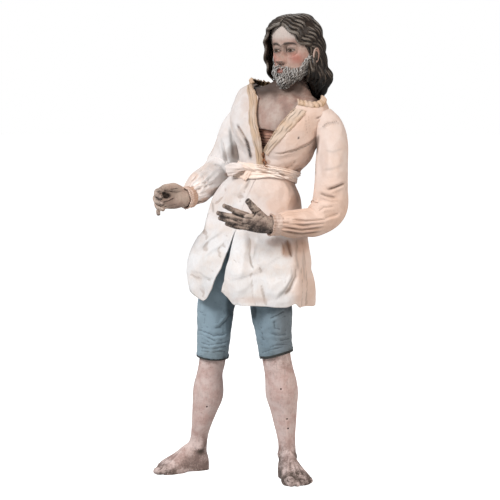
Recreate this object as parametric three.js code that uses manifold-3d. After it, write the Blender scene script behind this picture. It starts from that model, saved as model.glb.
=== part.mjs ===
// A dressed crib figure: a bearded man who stands barefoot in a belted shirt and knee breeches.
// The head with its breast plate is terracotta, the hands and lower legs are carved wood, the
// trunk is wire bound with tow, and the clothes are stiffened linen.
// Millimetres, +Z up, with -Y towards the viewer and the figure turned a little to its own right.
// "Left" and "right" in the names are the figure's own.
import * as THREE from "three";
import { mergeVertices } from "three/addons/utils/BufferGeometryUtils.js";
import Module from "manifold-3d";

const wasm = await Module();
wasm.setup();

// Driving dimensions
const figureHeight = 395; // soles to the crown of the hair
const clothThickness = 1.2; // stiffened linen of the shirt
const touching = 0.3; // gap kept between pieces that touch
const liningRoom = 0.9; // gap between the facets of the shirt's lining and what it covers
const sashHeight = 12.5; // height of the wound sash at the waist
const sashThickness = 2.2; // its layers, wound on each other
const plateThickness = 4; // terracotta wall of the breast plate
const lapelThickness = 1.1; // turned facing beside the neck opening
const collarHeight = 5.5; // gathered frill that stands round the neck
const collarThickness = 1.3;
const cuffLength = 9; // wristband that closes a sleeve
const cuffThickness = 1.5;
const wristRoom = 0.6; // clearance of a wrist in its cuff and sleeve
const wristReach = 9; // how far a wrist runs up inside the sleeve
const kneeRoom = 1.1; // clearance of a leg in the hem of the breeches

// Pose points below are written for a figure of this height, and follow figureHeight.
const drawnHeight = 395;
const k = figureHeight / drawnHeight;
const point = (x, y, z) => new THREE.Vector3(x * k, y * k, z * k);

const { clamp, degToRad, lerp, smoothstep } = THREE.MathUtils;
const fullTurn = 2 * Math.PI;
const hump = (x, centre, width) => Math.exp(-(((x - centre) / width) ** 2));

// A turn about +Z gives the way a part of the body faces: 0 is towards the viewer, and a positive
// turn is to the figure's own right.
const facingOf = (turn) => new THREE.Vector3(-Math.sin(turn), -Math.cos(turn), 0);
const leftOf = (turn) => new THREE.Vector3(Math.cos(turn), -Math.sin(turn), 0);

// Reads a table of rows at a place from 0, the first row, to 1, the last, with a smooth curve
// through the rows.
function readRows(rows, place) {
  const at = clamp(place, 0, 1) * (rows.length - 1);
  const i = Math.min(Math.floor(at), rows.length - 2);
  const t = at - i;
  const row = (n) => rows[clamp(n, 0, rows.length - 1)];
  return rows[i].map((_, column) => {
    const [a, b, c, d] = [row(i - 1)[column], row(i)[column], row(i + 1)[column], row(i + 2)[column]];
    const bend = 2 * a - 5 * b + 4 * c - d + (3 * b - a - 3 * c + d) * t;
    return b + 0.5 * t * (c - a + t * bend);
  });
}

// Turns a geometry's faces outwards, if its mapping turned them in, and keeps positions alone.
function closed(geometry) {
  geometry.deleteAttribute("normal");
  geometry.deleteAttribute("uv");
  const merged = mergeVertices(geometry, 1e-4);
  const position = merged.attributes.position;
  const index = merged.index.array;
  const corner = [0, 1, 2].map(() => new THREE.Vector3());
  let volume = 0;
  for (let i = 0; i < index.length; i += 3) {
    corner.forEach((c, n) => c.fromBufferAttribute(position, index[i + n]));
    volume += corner[0].dot(corner[1].cross(corner[2]));
  }
  if (volume < 0) {
    for (let i = 0; i < index.length; i += 3) {
      [index[i + 1], index[i + 2]] = [index[i + 2], index[i + 1]];
    }
  }
  return merged;
}

// A three.js geometry whose vertices are moved to place(...) of what `read` gives for each.
function moved(geometry, read, place) {
  const position = geometry.attributes.position;
  for (let i = 0; i < position.count; i++) {
    const p = place(...read(geometry, i));
    position.setXYZ(i, p.x, p.y, p.z);
  }
  return closed(geometry);
}

// A ball moved to place(u, v): u runs once round, and v from one end to the other.
function ball(around, along, place) {
  const read = (geometry, i) => {
    const v = Math.round((1 - geometry.attributes.uv.getY(i)) * along) / along;
    const u = Math.round(geometry.attributes.uv.getX(i) * around) / around;
    return v === 0 || v === 1 ? [0, v] : [u % 1, v];
  };
  return moved(new THREE.SphereGeometry(1, around, along), read, place);
}

// A ring moved to place(u, v): u runs round the ring, and v round its section.
function ring(around, section, place) {
  const read = (geometry, i) => {
    const u = Math.round(geometry.attributes.uv.getX(i) * around) / around;
    const v = Math.round(geometry.attributes.uv.getY(i) * section) / section;
    return [u % 1, v % 1];
  };
  return moved(new THREE.TorusGeometry(2, 1, section, around), read, place);
}

// A slab moved to place(u, v, w): u and v run over it, and w through it, from 0 to 1.
function slab(across, along, place) {
  const read = ({ attributes: { position } }, i) => [
    position.getX(i) + 0.5,
    position.getY(i) + 0.5,
    position.getZ(i) + 0.5,
  ];
  return moved(new THREE.BoxGeometry(1, 1, 1, across, along, 1), read, place);
}

// A limb: a tube with flat ends along rows of [x, y, z, depth radius, width radius]. The depth
// radius lies along `facing`, and `relief` adds to both radii.
function limb(rows, facing, around, steps, { grow = 0, relief = () => 0 } = {}) {
  const centreAt = (s) => point(...readRows(rows, s).slice(0, 3));
  return ball(around, steps + 2, (u, v) => {
    const s = clamp((v * (steps + 2) - 1) / steps, 0, 1);
    const centre = centreAt(s);
    if (v === 0 || v === 1) return centre;
    const along = centreAt(s + 0.02).sub(centreAt(s - 0.02)).normalize();
    const depth = facing.clone().addScaledVector(along, -facing.dot(along)).normalize();
    const side = new THREE.Vector3().crossVectors(along, depth);
    const [, , , deep, wide] = readRows(rows, s);
    const more = grow + relief(u, s) * k;
    return centre
      .addScaledVector(depth, Math.cos(fullTurn * u) * (deep * k + more))
      .addScaledVector(side, Math.sin(fullTurn * u) * (wide * k + more));
  });
}

function solidOf(geometry) {
  const mesh = new wasm.Mesh({
    numProp: 3,
    vertProperties: geometry.attributes.position.array,
    triVerts: new Uint32Array(geometry.index.array),
  });
  return new wasm.Manifold(mesh);
}

function geometryOf(solid) {
  const { vertProperties, triVerts } = solid.getMesh();
  return new THREE.BufferGeometry()
    .setAttribute("position", new THREE.BufferAttribute(vertProperties, 3))
    .setIndex(new THREE.BufferAttribute(triVerts, 1));
}

const join = (solids) => solids.reduce((all, next) => all.add(next));
const largest = (solid) => solid.decompose().sort((a, b) => b.volume() - a.volume())[0];

// A cutter whose outline is drawn in the view from the front, from `near` to `far` in depth.
function frontCutter(outline, near, far) {
  const shape = new THREE.Shape(outline.map(([x, z]) => new THREE.Vector2(x * k, z * k)));
  const prism = new THREE.ExtrudeGeometry(shape, { depth: (far - near) * k, bevelEnabled: false });
  prism.rotateX(Math.PI / 2);
  prism.translate(0, far * k, 0);
  return solidOf(closed(prism));
}

// The shirt's lining surface, from the neck down to the hem. Each row is the height and the
// place of the middle, the half width and half depth, the turn in degrees, and the lean, by
// which a row drops towards the figure's left.
const shirtRows = [
  [327.5, 22, -13, 31, 19, 27, -0.22],
  [321, 18.5, -14, 38.5, 22, 27, -0.22],
  [311.5, 16.5, -15, 42.5, 24, 27, -0.2],
  [300, 12, -16, 41, 25.5, 27, -0.18],
  [286, 10, -17, 36, 26, 28, -0.17],
  [274, 9.8, -17, 30.5, 24, 28, -0.18],
  [265, 6.5, -16.5, 25.5, 21.2, 28, -0.19],
  [257, 3.5, -16, 23.5, 20, 28, -0.2],
  [246, -0.5, -15, 32, 24.5, 28, -0.19],
  [234, -3.5, -14, 36.5, 28.5, 28, -0.16],
  [218, -5, -14, 40.5, 32, 28, -0.12],
  [200, -8, -14, 46, 35, 28, -0.1],
  [183, -11, -14, 51, 38, 28, -0.08],
  [167, -11, -14, 52, 38.5, 28, -0.07],
  [150, -8, -14, 48.5, 37.5, 28, -0.05],
];
const rowPlace = (row) => row / (shirtRows.length - 1);
const waistPlace = rowPlace(7);

function shirtPoint(angle, place, out) {
  const [height, x, y, halfWidth, halfDepth, turn, lean] = readRows(shirtRows, place);
  const left = leftOf(degToRad(turn));
  const front = facingOf(degToRad(turn));
  const p = point(x, y, height)
    .addScaledVector(left, Math.sin(angle) * (halfWidth * k + out))
    .addScaledVector(front, Math.cos(angle) * (halfDepth * k + out));
  p.z += lean * (p.x - x * k);
  return p;
}

// How far the cloth stands off its lining surface: small creases above the sash, and fuller
// folds that open towards the hem.
function shirtFold(angle, place) {
  const below = smoothstep(place, waistPlace, 1);
  const above = smoothstep(waistPlace - place, 0.08, 0.22);
  const skirt = 1 + Math.sin(7 * angle + 0.6) + 0.6 * Math.sin(12 * angle + 2 - 3 * place);
  const bodice = 1 + Math.sin(5 * angle + 9 * place) * Math.sin(8 * place + 2 * angle);
  return (below * 2.4 * Math.max(skirt, 0) + above * 0.5 * bodice) * k;
}

const liningOut = (angle, place) => shirtFold(angle, place);
const faceOut = (angle, place) => liningOut(angle, place) + clothThickness;

// The whole space that the shirt takes up, grown by `room`.
function shirtSpace(room, around, along) {
  return ball(around, along + 2, (u, v) => {
    const place = clamp((v * (along + 2) - 1) / along, 0, 1);
    if (v === 0 || v === 1) {
      const [height, x, y] = readRows(shirtRows, place);
      return point(x, y, height + (v === 0 ? room : -room) / k);
    }
    return shirtPoint(fullTurn * u, place, faceOut(fullTurn * u, place) + room);
  });
}

const shirtAround = 24;
const shirtAlong = shirtRows.length - 1;

// Neck opening: the left side of the outline is the figure's right edge, which hangs straight,
// and the other edge slants down to meet it above the sash.
const neckOutline = [
  [-9.5, 352], [-9.5, 335], [-2.6, 323], [-5.2, 312], [-4.6, 304], [-2.2, 292], [0.3, 268],
  [0.9, 268],
  [2.4, 279], [13.7, 297.5], [26, 312], [30, 318], [31, 352],
];
// Slit of the skirt, with the hem's slanting corner on the figure's left of it.
const slitOutline = [
  [-20.5, 214], [-27, 196], [-34, 180], [-42, 163], [-49.5, 150], [-49.5, 120], [-9, 120],
  [-10, 149], [-23, 154.5], [-33.5, 161.5], [-30.5, 170], [-25.5, 190],
];
const hemCornerOutline = [
  [-75, 158], [-57, 155], [-49.5, 149], [-49.5, 120], [-75, 120],
];

function shirt() {
  const shell = ring(shirtAround, 2 * shirtAlong + 2, (u, v) => {
    const angle = fullTurn * u;
    const step = Math.round(v * (2 * shirtAlong + 2));
    const outside = step <= shirtAlong;
    const place = (outside ? step : 2 * shirtAlong + 1 - step) / shirtAlong;
    return shirtPoint(angle, place, outside ? faceOut(angle, place) : liningOut(angle, place));
  });
  return largest(
    solidOf(shell)
      .subtract(frontCutter(neckOutline, -80, -15))
      .subtract(frontCutter(slitOutline, -90, -18))
      .subtract(frontCutter(hemCornerOutline, -90, -18)),
  );
}

// The trunk, bound with tow: it fills the bodice and stops at the waist.
const trunkGap = plateThickness + touching;
function trunk(grow = 0) {
  const top = rowPlace(1.85);
  const steps = 6;
  return solidOf(
    ball(16, steps + 2, (u, v) => {
      const step = clamp(Math.round(v * (steps + 2)) - 1, 0, steps) / steps;
      const place = lerp(top, waistPlace, step);
      const rounding = 9 * k * (1 - smoothstep(step, 0, 0.22)) ** 2;
      const inward = -liningRoom - trunkGap * (1 - smoothstep(step, 0.45, 0.7)) - rounding;
      const p = shirtPoint(fullTurn * u, place, inward + grow);
      if (v === 0 || v === 1) {
        const [height, x, y] = readRows(shirtRows, place);
        p.set(x * k, y * k, height * k);
      }
      if (v === 0) p.z += grow;
      return p;
    }),
  );
}

// The breast plate under the shirt, on which the neck stands.
function breastPlate() {
  const bottom = rowPlace(3.45);
  const steps = 4;
  const plate = ball(18, steps + 2, (u, v) => {
    const step = clamp(Math.round(v * (steps + 2)) - 1, 0, steps) / steps;
    const place = lerp(0, bottom, step);
    const inward = -liningRoom - 0.2 - 7 * k * (1 - smoothstep(step, 0, 0.35)) ** 2;
    if (v === 0 || v === 1) {
      const [height, x, y] = readRows(shirtRows, place);
      return point(x, y, height);
    }
    return shirtPoint(fullTurn * u, place, inward);
  });
  return solidOf(plate).subtract(trunk(touching));
}

// Places in the head are written from the middle of the skull: to the figure's left, forward
// and up.
const headCentre = [28.5, -19.5, 363];
const headTurn = degToRad(40);
const headNod = degToRad(-3);
function headPoint(left, forward, up) {
  const f = forward * Math.cos(headNod) - up * Math.sin(headNod);
  const h = forward * Math.sin(headNod) + up * Math.cos(headNod);
  return new THREE.Vector3(...headCentre)
    .addScaledVector(leftOf(headTurn), left)
    .addScaledVector(facingOf(headTurn), f)
    .add(new THREE.Vector3(0, 0, h));
}

// Skull and beard: rows of height, reach to the front, reach to the back and half width.
const skullRows = [
  [27.5, 0.5, 0.5, 0.5],
  [26.5, 8, 11, 9],
  [23.5, 14.5, 18, 15.5],
  [17.5, 18.5, 22.5, 19.2],
  [9, 20, 24, 20.2],
  [0.5, 19.5, 24, 19.5],
  [-7, 19.5, 22, 18.5],
  [-14.5, 20.5, 17, 17.3],
  [-20, 21.5, 13, 16],
  [-26, 20.5, 8.5, 13],
  [-30.5, 15.5, 3, 8.5],
  [-32, 9, -2, 1],
];

// How far the hair stands off the skull: it starts at the hairline, parts in the middle, runs
// back in waves, and is fuller beside the figure's right cheek.
function hairRelief(angle, up) {
  const turn = Math.atan2(Math.sin(angle), Math.cos(angle));
  const off = Math.abs(turn);
  const hairline = smoothstep(up, 12, 17);
  const sides = smoothstep(off, 1.05, 1.3);
  const waves = 0.7 * Math.sin(9 * off + 0.28 * up) + 0.5 * Math.sin(0.5 * up + 6 * off);
  const cover = Math.max(hairline, sides * smoothstep(up, -26, -12));
  const full = 6.2 * hump(turn, -1.3, 0.45) * smoothstep(up, -30, -24) * smoothstep(-up, -20, -10);
  return cover * (3 + waves - 1.2 * hump(off, 0, 0.1)) + Math.max(cover, smoothstep(-up, 0, 8)) * full;
}

// How far the features stand off the skull: brow, sockets, cheeks, mouth and the beard's locks.
function faceRelief(angle, up) {
  const off = Math.atan2(Math.sin(angle), Math.cos(angle));
  const side = Math.abs(off);
  const face = 1 - smoothstep(side, 0.95, 1.25);
  const brow = 1.2 * hump(up, 5, 2.5) * (1 - hump(side, 0, 0.12));
  const socket = -2.6 * hump(side, 0.42, 0.22) * hump(up, 0.5, 3);
  const cheek = 1.1 * hump(side, 0.62, 0.25) * hump(up, -7, 4);
  const mouth = -1.8 * hump(side, 0, 0.3) * hump(up, -17.5, 1.4);
  const beard = smoothstep(-up, 15, 21) * (0.9 + 0.8 * Math.sin(15 * off + 0.5 * up));
  return face * (brow + socket + cheek + mouth + beard);
}

function skull() {
  const around = 22;
  const steps = 16;
  const dense = 0.4; // crowds the columns towards the face
  return solidOf(
    ball(around, steps, (u, v) => {
      const angle = fullTurn * u - dense * Math.sin(fullTurn * u);
      const [up, front, back, wide] = readRows(skullRows, v);
      const forward = (front - back) / 2;
      if (v === 0 || v === 1) return headPoint(0, forward, up).multiplyScalar(k);
      const c = Math.cos(angle);
      const more = hairRelief(angle, up) + faceRelief(angle, up);
      const crown = smoothstep(v, 0, 0.08) * more;
      const reach = (c > 0 ? front : back) + crown;
      const rise = (1 - smoothstep(v, 0.04, 0.2)) * 2;
      return headPoint(Math.sin(angle) * (wide + crown), c * reach, up + rise).multiplyScalar(k);
    }),
  );
}

const noseRows = [
  [0, 17.5, 4.5, 2.4, 2.4], [0, 20.5, 0, 2.4, 2.2], [0, 22.6, -4.5, 2.4, 2.8],
  [0, 23.4, -7.5, 2.6, 3.6], [0, 21.5, -9.8, 1, 2],
];

function nose() {
  const rows = noseRows.map(([left, forward, up, deep, wide]) => [
    ...headPoint(left, forward, up).toArray(),
    deep,
    wide,
  ]);
  return solidOf(limb(rows, facingOf(headTurn), 7, 6));
}

// The ear that the hair leaves bare, on the figure's left: its middle, to the left, forward and
// up in the head, and its reach each of these ways. It leans out and widens towards the top.
const earMiddle = [20.3, -0.6, -6];
const earReach = [2.4, 3, 6.4];
const earLean = 0.8;

const ear = () =>
  solidOf(
    ball(7, 6, (u, v) => {
      const [up, ring] = [Math.cos(Math.PI * v), Math.sin(Math.PI * v)];
      const aside = earReach[0] * ring * Math.cos(fullTurn * u) + earLean * up;
      const ahead = (earReach[1] + earLean * up) * ring * Math.sin(fullTurn * u);
      const off = [aside, ahead, earReach[2] * up];
      return headPoint(...earMiddle.map((place, i) => place + off[i])).multiplyScalar(k);
    }),
  );

// Long hair that hangs from the back of the skull to the collar, in wavy locks: it starts behind
// one ear and ends behind the other cheek.
function hangingHair() {
  const [start, end] = [degToRad(72), degToRad(284)];
  const columns = 20;
  return solidOf(
    slab(columns, 5, (u, v, w) => {
      const turn = lerp(start, end, u);
      const lock = Math.cos(0.5 * columns * fullTurn * u);
      const length = lerp(34.5, 28, smoothstep(u, 0.15, 0.45)) - 1.6 * (1 - lock) * v;
      const swing = 6 * hump(turn, 2.15, 0.5) * hump(v, 0.7, 0.26);
      const reach = 24 + swing + 0.9 * lock * w - 2.4 * hump(v, 0.38, 0.22) - 1.5 * v;
      const thick = 7.5 - 4 * v * v;
      const out = reach - (1 - w) * thick;
      const shift = 0.03 * Math.sin(7 * v);
      const up = lerp(7, -length, v);
      const aside = Math.sin(turn + shift) * out * 0.94;
      return headPoint(aside, Math.cos(turn + shift) * out - 1.5, up).multiplyScalar(k);
    }),
  );
}

const neckRows = [
  [26.5, -17, 348, 11.5, 11.5], [26, -16, 337, 11, 11.5], [24, -15.5, 328, 12, 14],
  [21.5, -15.5, 317, 14, 20],
];

function head() {
  const neck = solidOf(limb(neckRows, facingOf(headTurn * 0.7), 12, 3));
  return join([
    skull(),
    nose(),
    ear(),
    hangingHair(),
    neck.subtract(trunk(touching)),
    breastPlate(),
  ]);
}

// A foot stands on the floor with a flat sole. Rows: reach forward of the ankle, half width,
// height, and the middle's shift to the big toe's side.
const footRows = [
  [-10, 3.5, 9, -0.5],
  [-8.5, 5.8, 15, -0.5],
  [-4, 7.2, 22, 0],
  [3, 7.6, 26, 0],
  [11, 7.8, 22.5, 0.6],
  [19, 9.8, 17.5, 0.6],
  [26, 12, 13.5, -0.4],
  [31.5, 12, 10.5, 0],
  [35.5, 9.5, 7.5, 1],
];
// Toes from the big one out: root and tip, forward and to the big toe's side, and radius.
const toes = [
  [29, 7.6, 42, 7.2, 4.6],
  [31, 1.8, 42, 2, 3.2],
  [30.5, -2.6, 39.4, -2.6, 3.1],
  [28.5, -6.8, 35.8, -7.2, 3],
  [25.5, -10.4, 31, -11.2, 3.1],
];

function foot({ ankle, turn, bigToeSide }) {
  const forward = facingOf(turn);
  const inner = leftOf(turn).multiplyScalar(bigToeSide);
  const place = (ahead, aside, up) =>
    point(ankle[0], ankle[1], 0)
      .addScaledVector(forward, ahead * k)
      .addScaledVector(inner, aside * k)
      .setZ(Math.max(up, 0) * k);
  const body = ball(10, 7, (u, v) => {
    const [ahead, half, height, shift] = readRows(footRows, v);
    if (v === 0 || v === 1) return place(ahead, shift, height * 0.45);
    const c = Math.cos(fullTurn * u);
    const arch = 2.2 * hump(ahead, 10, 8) * Math.max(c, 0);
    const up = height * 0.3 + height * 0.7 * Math.sin(fullTurn * u);
    return place(ahead, shift + half * c, Math.max(up, arch));
  });
  const toe = ([root, rootSide, tip, tipSide, radius]) =>
    ball(6, 4, (u, v) => {
      const swell = radius * Math.sqrt(Math.max(1 - (2 * v - 1) ** 4, 0));
      const aside = lerp(rootSide, tipSide, v) + swell * Math.cos(fullTurn * u);
      const up = radius * 0.8 + swell * Math.sin(fullTurn * u);
      return place(lerp(root, tip, v), aside, up);
    });
  return join([solidOf(body), ...toes.map((t) => solidOf(toe(t)))]);
}

// Lower legs, from inside the breeches down to the ankle: centre, depth and width radii.
const rightLegRows = [
  [-41.8, -3.2, 112, 11.2, 11.2], [-42.6, -1.4, 98, 11.4, 10.8], [-44.8, 0.5, 87, 11.2, 10.3],
  [-46.2, 3, 76, 13, 11.6], [-47, 4.5, 66, 13.4, 11.4], [-49.6, 6, 54, 11.2, 9.8],
  [-52, 7.5, 43, 9.2, 8.2], [-54, 11, 32, 8.2, 7.2], [-55.6, 12.6, 22, 8.4, 7.4],
  [-56, 13, 13, 8, 6.8],
];
const leftLegRows = [
  [10.6, -31, 117, 12, 12], [12, -30.3, 104, 12, 12.1], [14, -29, 93, 11.5, 12.3],
  [15.9, -27.5, 82, 12.6, 13.4], [16.9, -26, 72, 13.2, 13.6], [18.1, -24.5, 61, 11.5, 11.6],
  [19.2, -23.5, 49, 9.6, 9.9], [20.2, -22.5, 37, 8.4, 8.2], [21.2, -22, 25, 8.4, 7.7],
  [21.2, -22, 13, 8, 6.8],
];
const shin = (u, s) => 0.6 * hump(Math.cos(fullTurn * u), 1, 0.25) - 0.5 * hump(s, 0.16, 0.06);

const legs = {
  right: { rows: rightLegRows, turn: degToRad(62), ankle: [-56.5, 13], bigToeSide: 1 },
  left: { rows: leftLegRows, turn: degToRad(-14), ankle: [21.2, -22], bigToeSide: -1 },
};
const legTube = (leg, grow) =>
  solidOf(limb(leg.rows, facingOf(leg.turn), 10, 9, { grow, relief: shin }));
const lowerLeg = (leg) => legTube(leg, 0).add(foot(leg));

// Breeches: hips that fill the skirt's top, and a leg of cloth to just below each knee.
const hipRows = [
  [2, -15, 255.5, 20, 26], [-2, -15, 244, 22.5, 29], [-5, -15, 228, 26, 33], [-6, -15, 212, 25, 32],
  [-7, -14, 198, 17, 26],
];
const rightBreechesRows = [
  [-20, -7, 222, 18, 16], [-26, -6.5, 200, 18.5, 17], [-33, -6, 170, 17.5, 17],
  [-39.2, -5, 145, 16, 16.2], [-40.8, -4.5, 125, 14.8, 15], [-41.6, -3.5, 111, 14.2, 14],
  [-42.4, -2, 101.5, 14.2, 13.2],
];
const leftBreechesRows = [
  [8, -24, 222, 18, 16], [8.5, -26, 200, 18.5, 17.5], [7.5, -29, 170, 18, 18],
  [7.8, -31, 145, 17, 17.4], [9.3, -31.5, 128, 15.5, 15.8], [10.8, -31, 115, 14.6, 14.8],
  [12, -30.5, 104, 14.2, 14],
];
const breechesCrease = (u, s) =>
  smoothstep(s, 0.5, 0.8) * 0.5 * Math.sin(26 * s + 2 * Math.sin(fullTurn * u));

// The breeches stop under the sash. The cutter that ends them there reaches past the figure.
const breechesUnderWaist = 8;
const cutterReach = { right: -70, left: 90, top: 400 };

function breeches() {
  const hips = solidOf(limb(hipRows, facingOf(degToRad(28)), 14, 4));
  const cloth = (rows, turn) =>
    solidOf(limb(rows, facingOf(degToRad(turn)), 12, 8, { relief: breechesCrease }));
  const sockets = Object.values(legs).map((leg) => legTube(leg, kneeRoom));
  const whole = join([hips, cloth(rightBreechesRows, 45), cloth(leftBreechesRows, 8)]);
  const { right, left, top } = cutterReach;
  const low = readRows(shirtRows, waistPlace)[0] - breechesUnderWaist;
  const lid = frontCutter([[right, low], [right, top], [left, top], [left, low]], -left, left);
  return largest(whole.subtract(join(sockets)).subtract(trunk(touching)).subtract(lid));
}

// Sleeves, from the armhole to the cuff. The cloth is stuffed with tow, so each is a full tube.
const rightSleeveRows = [
  [-13, 0, 310, 11, 12], [-22, 8, 296, 12.5, 12.5], [-28, 20, 281, 13, 13],
  [-33, 28, 268, 14, 13.5], [-39, 22, 259, 13.5, 13.5], [-47, 7, 252, 13, 13],
  [-54.5, -9, 245, 11.5, 12], [-60, -19, 240, 9, 9.5],
];
const leftSleeveRows = [
  [49, -31, 306, 10, 10.5], [55, -34.5, 297, 11.5, 12], [57.7, -37.5, 284, 12.5, 12.6],
  [57.4, -39.5, 266, 13, 13.3], [56.3, -41.5, 248, 13.2, 14.2], [54, -44, 230.5, 13, 14.8],
  [43.5, -49.5, 220.2, 12.2, 12.2], [31, -56, 219, 11.6, 11.4], [22, -60.3, 218.4, 10.8, 10.6],
  [13.5, -64, 217.8, 9.4, 9.6],
];
const sleeveCrease = (u, s) =>
  0.7 * Math.sin(19 * s + 2.2 * Math.sin(fullTurn * u)) * Math.sin(Math.PI * s) +
  0.35 * smoothstep(s, 0.6, 0.9) * Math.sin(9 * fullTurn * u);

// Arms carry the direction square to the elbow's bend, the middle of the wrist, the way it
// points, its radii and the direction through the palm.
const arms = {
  right: {
    sleeve: rightSleeveRows,
    bend: [-0.86, 0.37, 0.35],
    wrist: [-62.5, -23, 238.6],
    ahead: [-0.62, -0.77, -0.12],
    radii: [5.8, 7.2],
    flat: [0.75, -0.65, 0.1],
  },
  left: {
    sleeve: leftSleeveRows,
    bend: [0.39, -0.92, 0],
    wrist: [10.3, -65.3, 217.5],
    ahead: [-0.92, -0.39, 0.02],
    radii: [5.8, 7.4],
    flat: [-0.3, -0.85, -0.4],
  },
};

// A straight tube about a wrist, from `back` mm behind the wrist to `front` mm ahead of it.
function wristTube({ wrist, ahead, radii, flat }, back, front, grow, around = 10) {
  const direction = new THREE.Vector3(...ahead).normalize();
  const rows = [-back, front].map((reach) => [
    ...new THREE.Vector3(...wrist).addScaledVector(direction, reach / k).toArray(),
    ...radii,
  ]);
  return solidOf(limb(rows, new THREE.Vector3(...flat), around, 1, { grow }));
}

// The sleeve stops where its cuff starts, and its inside leaves room for the wrist.
function sleeve(arm) {
  const tube = solidOf(
    limb(arm.sleeve, new THREE.Vector3(...arm.bend), 12, 11, { relief: sleeveCrease }),
  );
  const beyond = wristTube(arm, cuffLength - cuffLength / 2 + touching, 30 * k, 14 * k);
  const room = wristTube(arm, cuffLength / 2 + wristReach + touching, 6 * k, wristRoom);
  const body = solidOf(shirtSpace(touching, shirtAround, shirtAlong));
  return largest(tube.subtract(body).subtract(beyond).subtract(room));
}

// A wristband of gathered cloth.
function cuff(arm) {
  const direction = new THREE.Vector3(...arm.ahead).normalize();
  const flat = new THREE.Vector3(...arm.flat);
  const depth = flat.addScaledVector(direction, -flat.dot(direction)).normalize();
  const side = new THREE.Vector3().crossVectors(direction, depth);
  const [deep, wide] = arm.radii.map((r) => r * k + wristRoom);
  const corners = [[0, 0], [0, 1], [0.5, 0.8], [1, 1.2], [1, 0]];
  return solidOf(
    ring(14, corners.length, (u, v) => {
      const [reach, out] = corners[Math.round(v * corners.length) % corners.length];
      const gather = out ? 0.25 * Math.sin(fullTurn * 3.5 * u) : 0;
      const more = out * cuffThickness + gather;
      return point(...arm.wrist)
        .addScaledVector(direction, (reach - 0.5) * cuffLength)
        .addScaledVector(depth, Math.cos(fullTurn * u) * (deep + more))
        .addScaledVector(side, Math.sin(fullTurn * u) * (wide + more));
    }),
  );
}

// Palms as rows of centre, thickness and width, and each finger as joints with a root and a tip
// radius.
const rightHand = {
  back: new THREE.Vector3(0.3, -0.94, 0.1),
  palm: [
    [-67.5, -29.1, 237.8, 5.6, 7.6], [-72, -32, 238.4, 5.6, 9.2], [-77.5, -34.5, 238.8, 5, 9.6],
    [-83, -36.5, 238.8, 4, 9],
  ],
  fingers: [
    [2.5, 2, [-81, -37, 245.5], [-87, -44, 244.3], [-87.2, -50.5, 241.8], [-83.5, -54, 239.5]],
    [2.5, 2, [-82, -36.5, 241], [-88.3, -45, 239.3], [-87.3, -51.5, 236.3], [-82.5, -54.5, 234.5]],
    [2.4, 1.9, [-81.5, -36, 236], [-87.3, -43.5, 234.3], [-86.3, -49.5, 231.5], [-82, -52.5, 229.8]],
    [2.2, 1.7, [-79.5, -34.5, 231.8], [-85, -41, 230], [-86.3, -45.5, 228], [-86, -48.5, 225.8]],
    [4.2, 2.3, [-69, -30, 244.5], [-74, -37, 247.5], [-80.5, -44.5, 247.3], [-84.5, -50, 245.6]],
  ],
};
const leftHand = {
  back: new THREE.Vector3(-0.1, -0.85, -0.5),
  palm: [
    [5, -67.5, 217.6, 5.6, 7.6], [-1.5, -70.5, 218.5, 5.6, 8.4], [-8, -74.5, 220, 5, 8.6],
    [-15, -79, 221.5, 3.8, 8],
  ],
  fingers: [
    [2.5, 1.9, [-12.5, -79, 226.2], [-21.5, -84.5, 229.7], [-27, -87.5, 232.3], [-31, -88.5, 234.2]],
    [2.5, 1.9, [-14.5, -79.5, 223], [-25, -85.5, 225.6], [-31.5, -88, 227.3], [-35.8, -88.5, 228.4]],
    [2.5, 1.8, [-14.5, -78.5, 219.5], [-24.5, -84, 221.5], [-31, -86.5, 223.2], [-34.5, -87, 224.2]],
    [2.3, 1.7, [-13, -76.5, 216], [-21.5, -80.5, 217.2], [-26, -82, 218.4], [-29, -82.5, 219.4]],
    [4.2, 2.5, [1, -70.5, 222.5], [-5, -76.5, 229], [-8.5, -80.5, 233.5], [-11.8, -83.3, 237.6]],
  ],
};

function hand({ back, palm, fingers }, arm) {
  const palmSolid = solidOf(limb(palm, back, 10, 3));
  const wrist = wristTube(arm, cuffLength / 2 + wristReach, cuffLength / 2 + 2 * k, 0);
  const digits = fingers.map(([root, tip, ...joints]) => {
    const rows = joints.map((joint, i) => {
      const radius = lerp(root, tip, i / (joints.length - 1));
      return [...joint, radius, radius];
    });
    const [a, b] = joints.slice(-2).map((joint) => new THREE.Vector3(...joint));
    const end = b.clone().addScaledVector(b.clone().sub(a).normalize(), tip * 0.7);
    rows.push([...end.toArray(), tip * 0.5, tip * 0.5]);
    return solidOf(limb(rows, back, 6, 4));
  });
  return join([palmSolid, wrist, ...digits]);
}

// A point over the shirt's facets: straight between its rows of corners.
function overShirt(angle, place, out) {
  const row = Math.min(Math.floor(place * shirtAlong), shirtAlong - 1);
  const corner = (at) => shirtPoint(angle, at, faceOut(angle, at) + out);
  return corner(row / shirtAlong).lerp(corner((row + 1) / shirtAlong), place * shirtAlong - row);
}

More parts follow.
